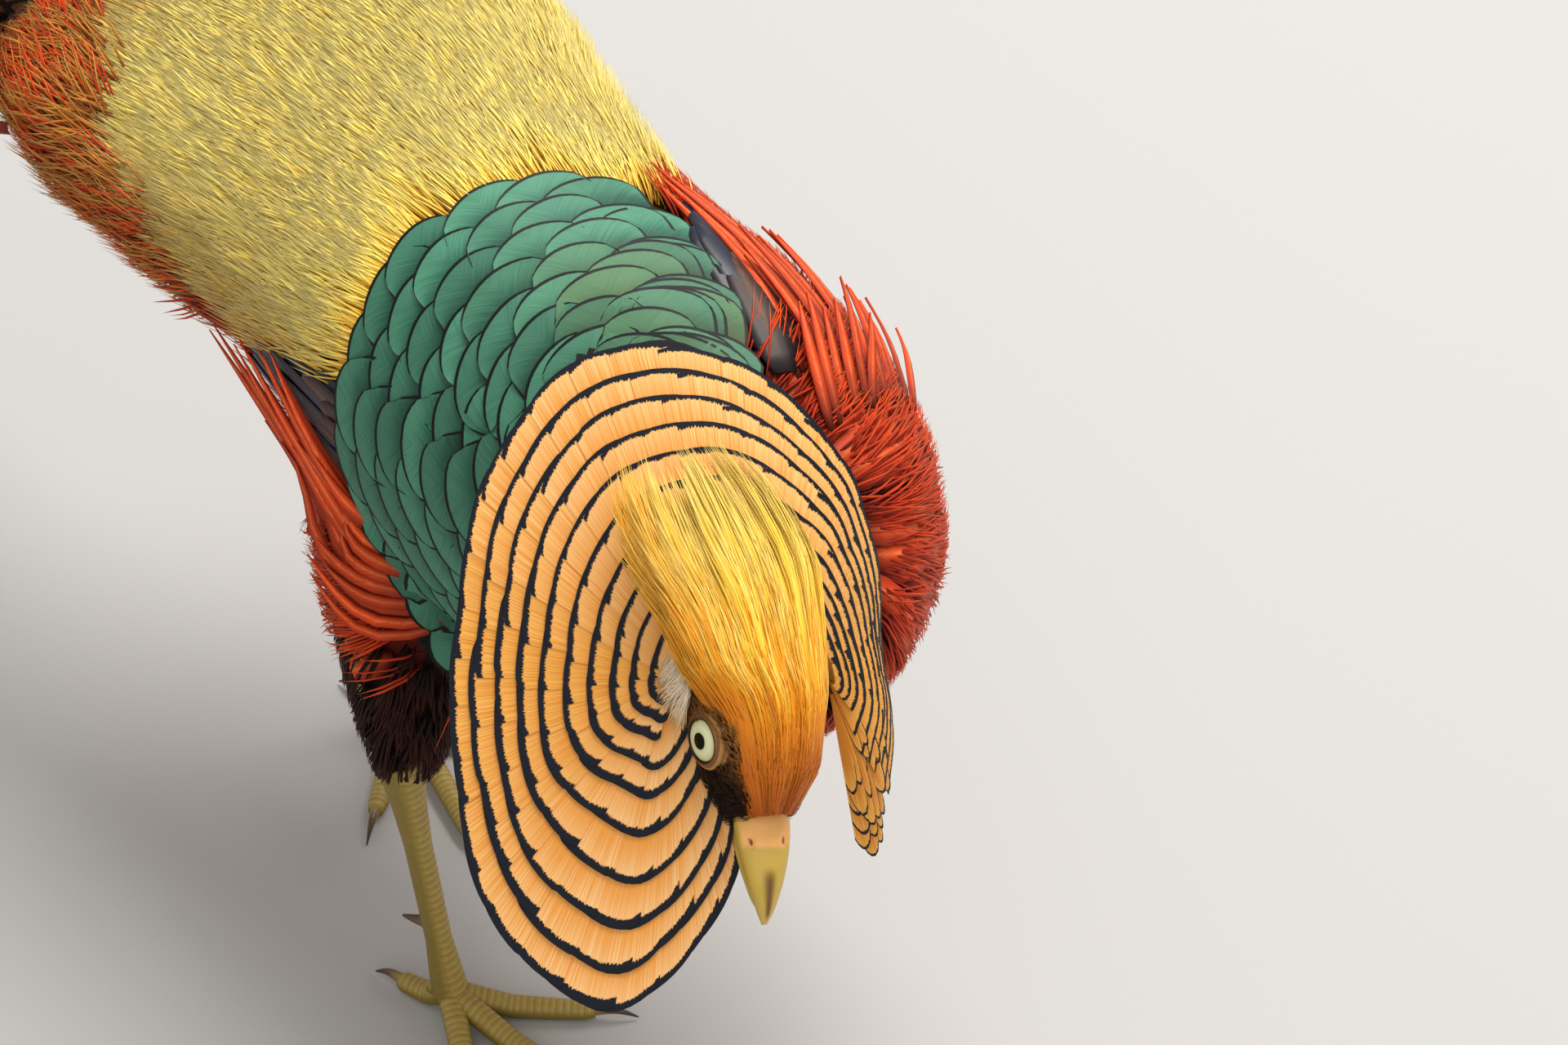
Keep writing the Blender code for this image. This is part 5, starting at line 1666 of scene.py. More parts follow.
@dataclass
class Bill:
    """The stout horn bill: an upper mandible with its soft operculum and a lower mandible."""

    stance: Stance
    root_mm: float = 18.8
    # Forward from the root, centre height, half width, half height
    upper: Table = (
        (-2.5, 1.2, 6.5, 4), (0, 1.4, 6.6, 3.9), (6, 1.4, 6.1, 3.6), (12, 0.9, 5, 3.1),
        (18, -0.2, 3.5, 2.5), (23, -1.9, 1.9, 1.9), (26, -3.4, 0.6, 0.9),
    )
    lower: Table = (
        (-2.5, -4, 5.9, 1.8), (0, -4, 5.9, 1.8), (7, -3.8, 5.2, 1.6), (14, -3.7, 3.9, 1.2),
        (20.5, -4, 2, 0.8), (22.6, -4.2, 0.8, 0.45),
    )
    rise_mm: float = -3.3
    shortening: float = 0.87

    def mandible(self, name: str, table: Sequence[Sequence[float]], ridge: float) -> None:
        """One mandible.

        Args:
            name: the piece's name.
            table: its stations.
            ridge: how sharply its top is ridged.
        """
        head = self.stance.head()
        rows = eased(table, 44)
        turn = turns(48)
        rings, tones = [], []
        for forward, height, half_width, half_height in rows:
            across, up = np.cos(turn), np.sin(turn)
            peak = 1 + ridge * np.clip(up, 0, 1) ** 8
            limit = 6.2 + 0.35 * np.sin(6 * turn + 0.6) + 1.1 * np.exp(-((turn - 1.8) / 0.45) ** 2)
            cere = smooth_step(0.6, -0.6, forward - limit) * smooth_step(0.2, 0.55, up) if ridge else 0 * up
            swell = 1 + 0.09 * cere
            slot = np.exp(-((np.abs(turn - math.pi / 2) - 0.78) / 0.17) ** 2)
            slot = slot * np.exp(-((forward - 5.0) / 1.6) ** 2) * (0.55 if ridge else 0.0)
            right = half_width * np.sign(across) * np.abs(across) ** 0.9 * (1 - 0.4 * slot)
            top = half_height * np.sign(up) * np.abs(up) ** 0.92 * peak * swell * (1 - 0.4 * slot)
            ahead = self.root_mm + forward * self.shortening
            rings.append(head.point(ahead, right, height + self.rise_mm + top))
            share = forward / 26.0
            culmen = np.exp(-((turn - math.pi / 2) / 0.3) ** 2) * smooth_step(0.42, 0.6, share)
            culmen = culmen * (1 - smooth_step(0.9, 1.0, share))
            tone = 0.42 + 0.1 * up
            tone = tone * (1 - cere) + 0.78 * cere
            tone = tone * (1 - culmen) + 0.12 * culmen
            # Near black in the slot's middle: painted shade in the nostril's opening.
            tone = np.maximum(tone, (slot / 0.55) ** 0.5) if ridge else tone
            tones.append(tone)
        finish = SkinFinish(
            "bill horn, keratin", Gloss(0.36, 0.4, coat=0.2, coat_roughness=0.2),
            stops=(
                (0, "#3A1E10"), (0.14, "#7A5028"), (0.3, "#A4862C"), (0.48, "#D0AE44"), (0.6, "#E2B45C"),
                (0.78, "#FFBC68"), (0.86, "#C07040"), (1, "#1E0E08"),
            ),
            grain_mm=1.2, mottle=0.1,
        )
        lofted(np.array(rings), {"tone": np.array(tones)}).place(name + "_horn", finish, "horn", name)

    def build(self) -> None:
        """Makes both mandibles."""
        self.mandible("bill_upper", self.upper, 0.12)
        self.mandible("bill_lower", self.lower, 0.0)


@dataclass(frozen=True)
class LegPose:
    """Where a leg's hock and foot are, and the way of its inner, middle, outer and hind toe in degrees."""

    word: str
    hock: Point
    foot: tuple[float, float]
    toes: Row


@dataclass
class Legs:
    """Scaled tarsi and toes with horn claws and short spurs."""

    stance: Stance
    poses: tuple[LegPose, ...] = (
        LegPose("right", (-0.04, -0.024, 0.08), (-0.035, -0.032), (312, 275, 237, 100)),
        LegPose("left", (0.035, 0.064, 0.08), (0.029, 0.054), (215, 248, 284, 95)),
    )
    toe_lengths: Row = (0.037, 0.05, 0.04, 0.016)
    claw_lengths: Row = (0.011, 0.011, 0.011, 0.008)
    joint_height: float = 0.0085
    tarsus_radius_mm: float = 3.7
    tarsus_form: Table = (
        (-0.1, 1.5), (0, 1.45), (0.1, 1.2), (0.3, 0.95), (0.75, 0.9), (0.92, 1.15), (1, 1.25), (1.06, 0.9),
    )
    toe_radius_mm: float = 3.0
    # Along a toe: share of its length, height of its middle, size against its radius
    toe_form: Table = (
        (-0.1, 0.0085, 1.2), (0.16, 0.0058, 1.08), (0.42, 0.003, 1), (0.7, 0.0027, 0.92),
        (0.9, 0.0026, 0.86), (1, 0.0028, 0.66),
    )
    # Scutes and pebbles are drawn at life size; rings this close together show their edges
    scute_mm: float = 2.3
    pebble_mm: float = 1.3
    ring_step_mm: float = 0.32
    claw_radius_mm: float = 1.75
    spur_radius_mm: float = 2.1
    spur_length: float = 0.0085
    # The spur's place from hock to foot
    spur_share: float = 0.68

    def limb(self, path: Array, radii: Array, over: Array, scute_mm: float, toe: bool) -> Soup:
        """A scaled limb: overlapping scutes in front, small round scales behind."""
        run = run_along(path)
        number = max(24, round(run[-1] / (self.ring_step_mm * MM)))
        at = np.linspace(0, run[-1], number)
        line, kernel = between(at, run, path), np.ones(9) / 9
        soft = np.stack([np.convolve(np.pad(axis, 4, "edge"), kernel, "valid") for axis in line.T], 1)
        radius = np.interp(at, run, radii)
        turn = turns(22)
        front = smooth_step(0.1, 0.45, np.sin(turn))
        phase = at / MM / scute_mm % 1.0
        plate = (0.5 + 0.9 * phase - 1.2 * smooth_step(0.86, 1.0, phase))[:, None] * front[None]
        pebble = np.sin(at / MM * 2 * math.pi / self.pebble_mm)[:, None] * np.sin(turn * 7)[None]
        pebble = 0.5 * pebble * (1 - front)[None]
        size = radius[:, None] * (1 + 0.035 * plate + 0.03 * pebble)
        rings = rings_round(soft, over, size, turn)
        if toe:
            rings[..., 2] = np.maximum(rings[..., 2], 0.0)
        tone = 0.35 + 0.45 * plate + 0.15 * pebble
        return lofted(rings, {"tone": np.clip(tone, 0, 1)})

    @staticmethod
    def horn(path: Array, radii: Array, tone: Array, flatness: float = 1.0) -> Soup:
        """A claw or a spur round its path."""
        rings = rings_round(path, UP, radii[:, None], turns(14), flatness)
        rings[..., 2] = np.maximum(rings[..., 2], 0.0001)
        return lofted(rings, {"tone": tone[:, None]})

    def toe(self, root: Array, degrees: float, length: float, claw_length: float) -> tuple[Soup, Soup]:
        """A toe and its claw."""
        way = np.array((math.cos(math.radians(degrees)), math.sin(math.radians(degrees)), 0))
        path = np.array([root + way * length * share + UP * height for share, height, _ in self.toe_form])
        radii = np.array([self.toe_radius_mm * MM * size for _, _, size in self.toe_form])
        shares = np.linspace(-0.12, 1, 16)
        grown = np.clip(shares, 0, 1)
        arch = 0.003 - 0.0021 * grown**1.4 + 0.0008 * np.sin(np.pi * grown)
        claw = root + way * (length * 0.99 + claw_length * shares)[:, None] + UP * arch[:, None]
        horn = self.horn(claw, self.claw_radius_mm * MM * (1 - 0.88 * grown**1.2), grown, 0.75)
        return self.limb(path, radii, UP, self.scute_mm * 0.8, True), horn

    def build(self) -> None:
        """Makes both legs."""
        origin = self.stance.shift()
        leather = SkinFinish(
            "scaled leg skin, keratin", Gloss(0.5, 0.35),
            stops=((0, "#4A3A18"), (0.35, "#85702E"), (0.7, "#A28B42"), (1, "#BCA460")),
        )
        nail = SkinFinish(
            "claw horn, keratin", Gloss(0.35, 0.5, coat=0.2),
            stops=((0, "#9A7C44"), (0.4, "#5A4426"), (1, "#2A1E12")),
        )
        for pose in self.poses:
            foot = np.array((*pose.foot, self.joint_height)) + origin
            hock = np.array(pose.hock) + origin
            path = np.array([hock + (foot - hock) * share for share, _ in self.tarsus_form])
            radii = np.array([self.tarsus_radius_mm * MM * size for _, size in self.tarsus_form])
            forward = unit(np.array((*(foot - hock)[:2], 0.0)))
            limbs, claws = [self.limb(path, radii, forward, self.scute_mm, False)], []
            root = np.array((*pose.foot, 0)) + origin
            for toe in zip(pose.toes, self.toe_lengths, self.claw_lengths):
                for soups, soup in zip((limbs, claws), self.toe(root, *toe)):
                    soups.append(soup)
            shares = np.linspace(0, 1, 12)
            spur = hock + (foot - hock) * self.spur_share - forward * (self.spur_length * shares)[:, None]
            spur = spur + UP * (0.001 * shares**2)[:, None]
            radii = self.spur_radius_mm * MM * (1 - 0.85 * shares**1.3)
            claws.append(self.horn(spur, radii, shares * 0.7))
            join(limbs).place("scaled_leg_" + pose.word, leather, "leg", "leg_" + pose.word)
            join(claws).place("claws_" + pose.word, nail, "leg")


@dataclass
class Plumage:
    """The body's soft coat: golden on the back, scarlet below, chestnut on the thighs."""

    tracts: Tracts

    def build(self, surface: Surface) -> None:
        """Grows every tract."""
        tracts = self.tracts

        def chart(points: Array) -> Array:
            """The body's unwrap."""
            return body_chart(tracts, points)

        def golden(points: Array) -> Array:
            """The golden tract, on the torso alone."""
            return tracts.gold(points) * tracts.torso_part(points)

        def edges(points: Array) -> Array:
            """More ruffle at the sides of the back."""
            _, around = tracts.locate(points)
            return 1.6 * smooth_step(38, 75, np.abs(around + 8)) + 2.6 * smooth_step(30, 60, around)

        def lot(points: Array) -> Array:
            """A fixed number from 0 to 1 for each place, which looks random."""
            return np.modf(np.abs(points @ np.array((7919.0, 12377.0, 4111.0))))[0]

        def brown(points: Array) -> Array:
            """Browner plumes low on the sides and behind, where the gold thins out."""
            along, around = tracts.locate(points)
            low = np.maximum(smooth_step(-50, -80, around), smooth_step(92, 118, along))
            return low * (0.25 + 0.75 * lot(points))

        def flank_ruffle(points: Array) -> Array:
            """More ruffle on the flanks and over the thighs."""
            along, around = tracts.locate(points)
            return 1.6 * smooth_step(95, 112, np.abs(around)) * smooth_step(-90, -50, along) + 0.25

        def redden(points: Array) -> Array:
            """Buff plumes where gold meets scarlet, and in plenty over the rump's sides."""
            along, around = tracts.locate(points)
            rump = smooth_step(70, 88, along) * smooth_step(112, 96, np.abs(around)) * (lot(points) > 0.5)
            return np.clip(np.maximum(tracts.gold(points) * 3 * (lot(points) > 0.35), rump), 0, 1)

        def rump(points: Array) -> Array:
            """The loose plumes over the rump's sides, before the tail."""
            along, around = tracts.locate(points)
            inner = np.interp(along, (60, 87, 101, 121, 140), (84, 70, 54, 24, 0))
            side = smooth_step(-7, 5, np.abs(around + 3) - inner) * smooth_step(122, 104, np.abs(around))
            return side * smooth_step(56, 74, along) * smooth_step(146, 138, along)

        def down(points: Array) -> Array:
            """Down and a little to the rear, as the thigh's plumes lie."""
            return np.broadcast_to((0.0, 0.25, -1.0), points.shape)

        golden_finish = PlumeFinish(
            "golden back plume", Gloss(0.55, 0.22),
            ramp=((0, "#A86E18"), (0.3, "#F4B834"), (0.65, "#FFE468"), (1, "#FFF4AC")),
            other=((0, "#4A1E08"), (0.35, "#A85A14"), (0.75, "#DFA03A"), (1, "#F0CC78")), spread=0.2,
        )
        scarlet_finish = PlumeFinish(
            "scarlet flank plume", Gloss(0.55, 0.18),
            ramp=((0, "#4A0A02"), (0.35, "#A82606"), (0.75, "#E2460C"), (1, "#F67A34")),
            other=((0, "#4A1A06"), (0.35, "#96500F"), (0.75, "#CC9038"), (1, "#E2BC70")), spread=0.25,
        )
        chestnut_finish = PlumeFinish(
            "chestnut thigh plume", Gloss(0.65, 0.15),
            ramp=((0, "#0C0302"), (0.5, "#260A05"), (1, "#46150A")), spread=0.3,
        )
        for part in range(2):
            Coat(
                f"golden_plumes_{part + 1}", "gold", golden_finish, 2080, 41 + part, (20.0, 33.0),
                (0.24, 0.42), (-1.2, 0.5, 1.3, 1.9), fan=0.07, ruffle=0.5, swerve=0.09,
            ).build(surface, golden, tracts.flow, chart, brown, edges)
        ribbon = RibbonFinish(
            "scarlet streamer, carotenoid", Gloss(0.55, 0.2), "#F58250", "#E24C10", "#AE2E08", "#5A1404",
        )
        Contours("scarlet_contours", "scarlet", ribbon, 2400, 50).build(surface, tracts.red, tracts.flow)
        Coat(
            "scarlet_plumes", "scarlet", scarlet_finish, 2300, 51, (18.0, 32.0), (0.22, 0.42),
            (-1.2, 0.6, 1.3, 1.9), spread_mm=1.4,
        ).build(surface, tracts.red, tracts.flow, chart, redden, flank_ruffle)
        Coat(
            "rump_plumes", "scarlet", scarlet_finish, 680, 58, (19.0, 31.0), (0.24, 0.44),
            (-1.2, 1.9, 3.4, 4.4), spread_mm=1.8, ruffle=1.7, swerve=0.28,
        ).build(surface, rump, tracts.flow, chart, lambda points: 0.9 * (lot(points) > 0.45))
        Coat(
            "thigh_plumes", "thigh", chestnut_finish, 640, 56, (10.0, 16.0), (0.3, 0.5),
            (-1.0, 0.3, 0.7, 0.9),
        ).build(surface, tracts.chestnut, down, chart)
        flank = (
            (10, (-16, -108, -30, -122), (24, -72, 58, -94), (1.5, 5.6, 4.5)),
            (10, (-12, -104, -26, -120), (8, -88, 36, -106), (1.2, 6, 6)),
            (9, (-18, -106, -34, -124), (4, -98, 2, -114), (1, 4.4, 5.2)),
        )
        flanks = Ribbons("flank_streamers_right", "scarlet", ribbon, 1.6, 71, flank, turned=(0, -0.35, 0.8))
        flanks.build(tracts, surface)
        shoulder = (
            (10, (-92, 12, -80, 34), (-32, 32, -16, 46), (0.8, 2.4, 2)),
            (9, (-94, 20, -84, 46), (-60, 22, -44, 54), (1, 3, 4.5)),
            (12, (-60, 60, -56, 124), (10, 64, 30, 104), (1, 3, 3.5)),
            (12, (-104, 8, -100, 60), (-78, 20, -70, 66), (1, 3.5, 6)),
        )
        Ribbons("shoulder_streamers_left", "scarlet", ribbon, 1.5, 72, shoulder).build(tracts, surface)


@dataclass
class Ribbons:
    """Long pointed feathers with loose edges, each laid between two places on the body."""

    name: str
    slot: str
    finish: Finish
    half_width_mm: float
    seed: int
    # For each group: count; the roots' span (along, around to along, around); the tips' span; lifts
    groups: tuple[tuple[int, Row, Row, Point], ...]
    outline: Row = (0.5, 0.9, 1.0, 1.0, 0.9, 0.72, 0.45, 0.12)
    scatter_mm: float = 1.5
    lift_spread: float = 0.25
    # Added to the way out of the body, so that the feathers' flats are turned this way
    turned: Point = (0.0, 0.0, 0.0)
    shape: VaneShape = field(default_factory=lambda: VaneShape(5, 0.2, 0.18, 0.3, 0.0, 0.15, 0.08))

    def build(self, tracts: Tracts, surface: Surface, nodes: tuple[str, ...] = ()) -> None:
        """Lays every group."""
        draw = np.random.default_rng(self.seed)
        paths, normals = [], []
        stations = np.linspace(0, 1, len(self.outline))
        for count, roots, tips, lifts in self.groups:
            for share in (np.arange(count) + 0.5) / count:
                share = float(np.clip(share + draw.normal(0, 0.25 / count), 0, 1))
                root = [roots[k] + (roots[k + 2] - roots[k]) * share for k in (0, 1)]
                tip = [tips[k] + (tips[k + 2] - tips[k]) * share for k in (0, 1)]
                tip = [tip[0] + draw.normal(0, 3.0), tip[1] + draw.normal(0, self.scatter_mm)]
                stand = 1 + draw.normal(0, self.lift_spread)
                line, ways = [], []
                for s in stations:
                    lift = np.interp(s, (0, 0.5, 1), lifts) * stand
                    place = [root[k] + (tip[k] - root[k]) * s for k in (0, 1)]
                    point, way = tracts.spot(surface, place[0], place[1], lift)
                    line.append(point)
                    ways.append(way)
                paths.append(line)
                normals.append(ways)
        path, ways = np.array(paths), unit(np.array(normals) + np.array(self.turned))
        for _ in range(2):
            path[:, 1:-1] = (path[:, :-2] + 2 * path[:, 1:-1] + path[:, 2:]) / 4
            ways[:, 1:-1] = unit(ways[:, :-2] + 2 * ways[:, 1:-1] + ways[:, 2:])
        widths = np.outer(draw.uniform(0.8, 1.15, len(path)), self.outline) * self.half_width_mm * MM
        values = {"seed": draw.random(len(path)), "tint": draw.random(len(path)), "bar": np.ones(len(path))}
        soup = vanes(path, ways, widths, self.shape, values)
        soup.place(self.name, self.finish, self.slot, *nodes)


@dataclass(frozen=True)
class RibbonFinish(Finish):
    """A loose-edged contour feather: paler along the shaft as a painted highlight, darker where the barbs
    part at its edges.
    """

    # middle, along the shaft, is a painted highlight.
    middle: str = "#E8694A"
    body: str = "#CE3A16"
    edge: str = "#7A1408"
    root: str = "#3A0A05"

    def colour(self, tree: Tree) -> Socket:
        """Colour across the vane, with a painted highlight along the shaft, darker at the root, with fine
        slanting barbs.
        """
        along, across = self.read(tree, "along"), self.read(tree, "across")
        off = add_node(tree, "Math", {0: across}, operation="ABSOLUTE")
        barbs = self.barbs(tree, 2.4, (2.0, 53.0, 0.0))
        out = add_node(tree, "Math", {0: barbs, 1: 0.8, 2: off}, operation="MULTIPLY_ADD")
        out = add_node(tree, "MapRange", {"Value": out, "From Min": 0.3, "From Max": 1.35})
        # The middle stop is a painted highlight along the shaft.
        stops = ((0, self.middle), (0.35, self.body), (1, self.edge))
        colour = add_node(tree, "ValToRGB", {"Fac": out}, stops=stops)
        deep = add_node(tree, "MapRange", {"Value": along, "From Min": 0.45, "From Max": 0.0})
        colour = add_node(tree, "Mix", {0: deep, 6: colour, 7: self.root}, 2, data_type="RGBA")
        return self.varied(tree, colour, self.read(tree, "seed"), 0.72, 1.2)


@dataclass
class Wings:
    """The folded wings where they show: brown coverts and navy secondaries under the body plumage."""

    tracts: Tracts

    def build(self, surface: Surface) -> None:
        """Lays both wings' feathers."""
        brown = RibbonFinish(
            "brown wing covert, melanin", Gloss(0.5, 0.4), "#6A4630", "#3A241A", "#140D0C", "#0E0909",
        )
        navy = RibbonFinish(
            "navy secondary, structural blue", Gloss(0.4, 0.5), "#151A34", "#10162E", "#05060E", "#050509",
        )
        shape = VaneShape(5, 0.3, 0.5, 1.4, 0.8, 0.4, 0.15)
        outline = (0.6, 0.9, 1.0, 1.0, 1.0, 0.95, 0.85, 0.55)
        right_navy = (
            (9, (-30, -70, -34, -106), (46, -74, 50, -97), (-0.6, 0.4, 1)),
            (6, (-36, -74, -38, -108), (34, -76, 30, -102), (-0.3, 0.8, 1.4)),
        )
        right_brown = (
            (7, (-44, -72, -46, -108), (22, -72, 10, -106), (0, 0.9, 1.5)),
            (7, (-52, -72, -52, -108), (8, -72, 0, -107), (0.2, 1.2, 1.8)),
        )
        left_navy = (
            (9, (-40, 62, -44, 104), (40, 66, 46, 97), (-0.6, 0.6, 1.2)),
            (5, (-84, 8, -74, 22), (-46, 24, -34, 34), (0.4, 1.2, 1.6)),
        )
        left_brown = (
            (9, (-60, 60, -60, 104), (4, 60, 8, 104), (-0.2, 1, 1.5)),
            (4, (-90, 8, -84, 18), (-60, 20, -52, 28), (0.8, 1.6, 2)),
        )
        for word, dark, light in (("right", right_navy, right_brown), ("left", left_navy, left_brown)):
            tertials = Ribbons("secondaries_" + word, "wing", navy, 4.6, 61, dark, outline, shape=shape)
            tertials.build(self.tracts, surface, ("wing_" + word,))
            coverts = Ribbons("wing_coverts_" + word, "wing", brown, 5.2, 62, light, outline, shape=shape)
            coverts.build(self.tracts, surface)


@dataclass
class Face:
    """Short bristly feathers on lores, cheeks and throat, tan round the eye and dark before it."""

    stance: Stance
    count: int = 7500

    def build(self, surface: Surface) -> None:
        """Sets the bristles on the head outside the crest."""
        draw = np.random.default_rng(81)
        head = self.stance.head()
        spots = np.concatenate([surface.scatter(40000, 8100 + k)[0] for k in range(12)])
        local = [((spots - head.centre) * way).sum(1) / MM for way in (head.first, head.second, head.third)]
        forward, right, up = local
        crown = Crest(self.stance)
        shift, half, top, _ = crown.frame(forward)
        under_crest = (np.abs(right - shift) < half * 0.86) & (up > top - 11)
        near = np.linalg.norm(spots - head.centre, axis=1) / MM < 27
        eyes = [
            np.linalg.norm(spots - head.point(*np.array(self.stance.eye_mm) * (1, s, 1)), axis=1)
            for s in (1, -1)
        ]
        clear = np.minimum(*eyes) / MM > 5.9
        kept = np.flatnonzero(near & ~under_crest & clear & (forward < 19.5))[:self.count]
        spots, forward, up = spots[kept], forward[kept], up[kept]
        eye = np.minimum(*eyes)[kept] / MM

        def flow(points: Array) -> Array:
            """Backward and down from the bill."""
            return np.broadcast_to(-head.first * 0.9 - head.third * 0.25, points.shape)

        lengths = draw.uniform(1.8, 3.6, len(spots)) * MM
        lifts = (
            np.array((-0.5, 0.25, 0.6))[None]
            + draw.uniform(0, 0.35, (len(spots), 1)) * np.array((0, 0.5, 1))[None]
        )
        path, normals = surface.lay(spots, flow, lengths, list(lifts.T), draw.normal(0, 0.3, len(spots)))
        widths = np.outer(draw.uniform(0.1, 0.19, len(spots)), (1, 0.8, 0.2)) * MM
        lores = smooth_step(3, 9, forward) * smooth_step(11, 5, up)
        tint = np.clip(lores + 0.35 * smooth_step(8.5, 6.0, eye) * (forward > 2), 0, 1)
        roots = np.stack([np.clip((forward + 30) / 60, 0, 1), np.clip((up + 20) / 45, 0, 1)], 1)
        finish = PlumeFinish(
            "short face bristle", Gloss(0.6, 0.2), ramp=((0, "#4A2A10"), (0.5, "#8A5A26"), (1, "#C08A48")),
            other=((0, "#0A0604"), (0.6, "#1A100A"), (1, "#36200F")), spread=0.3,
        )
        soup = blades(path, normals, widths, 0.5, roots, {"seed": draw.random(len(spots)), "tint": tint})
        soup.place("face_bristles", finish, "face")


@dataclass(frozen=True)
class TailFinish(Finish):
    """Tail feathers: black with cinnamon-buff spots on the middle pair, slanting bars on the others."""

    black: str = "#14100E"
    buff: str = "#B07C48"
    brown: str = "#6A3C1E"
    spot_mm: float = 6.0
    bar_mm: float = 11.0

    def colour(self, tree: Tree) -> Socket:
        """Spots or bars by the feather's tint."""
        tip, side, seed, across = (
            self.read(tree, name) for name in ("tip_mm", "side_mm", "seed", "across")
        )
        place = add_node(tree, "CombineXYZ", {"X": side, "Y": tip, "Z": seed})
        spread = add_node(tree, "VectorMath", {0: place, 1: (1.0, 0.85, 60.0)}, operation="MULTIPLY")
        wobble = add_node(tree, "TexNoise", {"Vector": spread, "Scale": 0.35, "Detail": 2.0}, "Color")
        moved = {0: wobble, 1: (3.0, 3.0, 0.0), 2: spread}
        moved = add_node(tree, "VectorMath", moved, operation="MULTIPLY_ADD")
        net = {"Vector": moved, "Scale": 1 / self.spot_mm, "Randomness": 0.9}
        cells = add_node(tree, "TexVoronoi", net, feature="DISTANCE_TO_EDGE")
        soft = {"interpolation_type": "SMOOTHSTEP"}
        spots = add_node(tree, "MapRange", {"Value": cells, "From Min": 0.1, "From Max": 0.19}, **soft)
        off = add_node(tree, "Math", {0: side}, operation="ABSOLUTE")
        slant = add_node(tree, "Math", {0: off, 1: -0.9, 2: tip}, operation="MULTIPLY_ADD")
        noise = add_node(tree, "TexNoise", {"Vector": spread, "Scale": 0.5, "Detail": 2.0})
        slant = add_node(tree, "Math", {0: noise, 1: 7.0, 2: slant}, operation="MULTIPLY_ADD")
        wave = add_node(tree, "Math", {0: slant, 1: 2 * math.pi / self.bar_mm}, operation="MULTIPLY")
        wave = add_node(tree, "Math", {0: wave}, operation="SINE")
        bars = add_node(tree, "MapRange", {"Value": wave, "From Min": -0.35, "From Max": 0.2}, **soft)
        pattern = add_node(tree, "Mix", {0: self.read(tree, "tint"), 2: spots, 3: bars}, data_type="FLOAT")
        light = add_node(tree, "Mix", {0: noise, 6: self.brown, 7: self.buff}, 2, data_type="RGBA")
        colour = add_node(tree, "Mix", {0: pattern, 6: self.black, 7: light}, 2, data_type="RGBA")
        off_shaft = add_node(tree, "Math", {0: across}, operation="ABSOLUTE")
        shaft = {"Value": off_shaft, "From Min": 0.06, "From Max": 0.03}
        shaft = add_node(tree, "MapRange", shaft, **soft)
        colour = add_node(tree, "Mix", {0: shaft, 6: colour, 7: "#2A1A10"}, 2, data_type="RGBA")
        barbs = add_node(tree, "Math", {0: off, 1: 1.3, 2: tip}, operation="MULTIPLY_ADD")
        line = add_node(tree, "CombineXYZ", {"X": barbs, "Y": seed, "Z": 0.0})
        fine = add_node(tree, "TexNoise", {"Vector": line, "Scale": 1.6, "Detail": 1.0})
        return self.varied(tree, colour, fine, 0.8, 1.2)


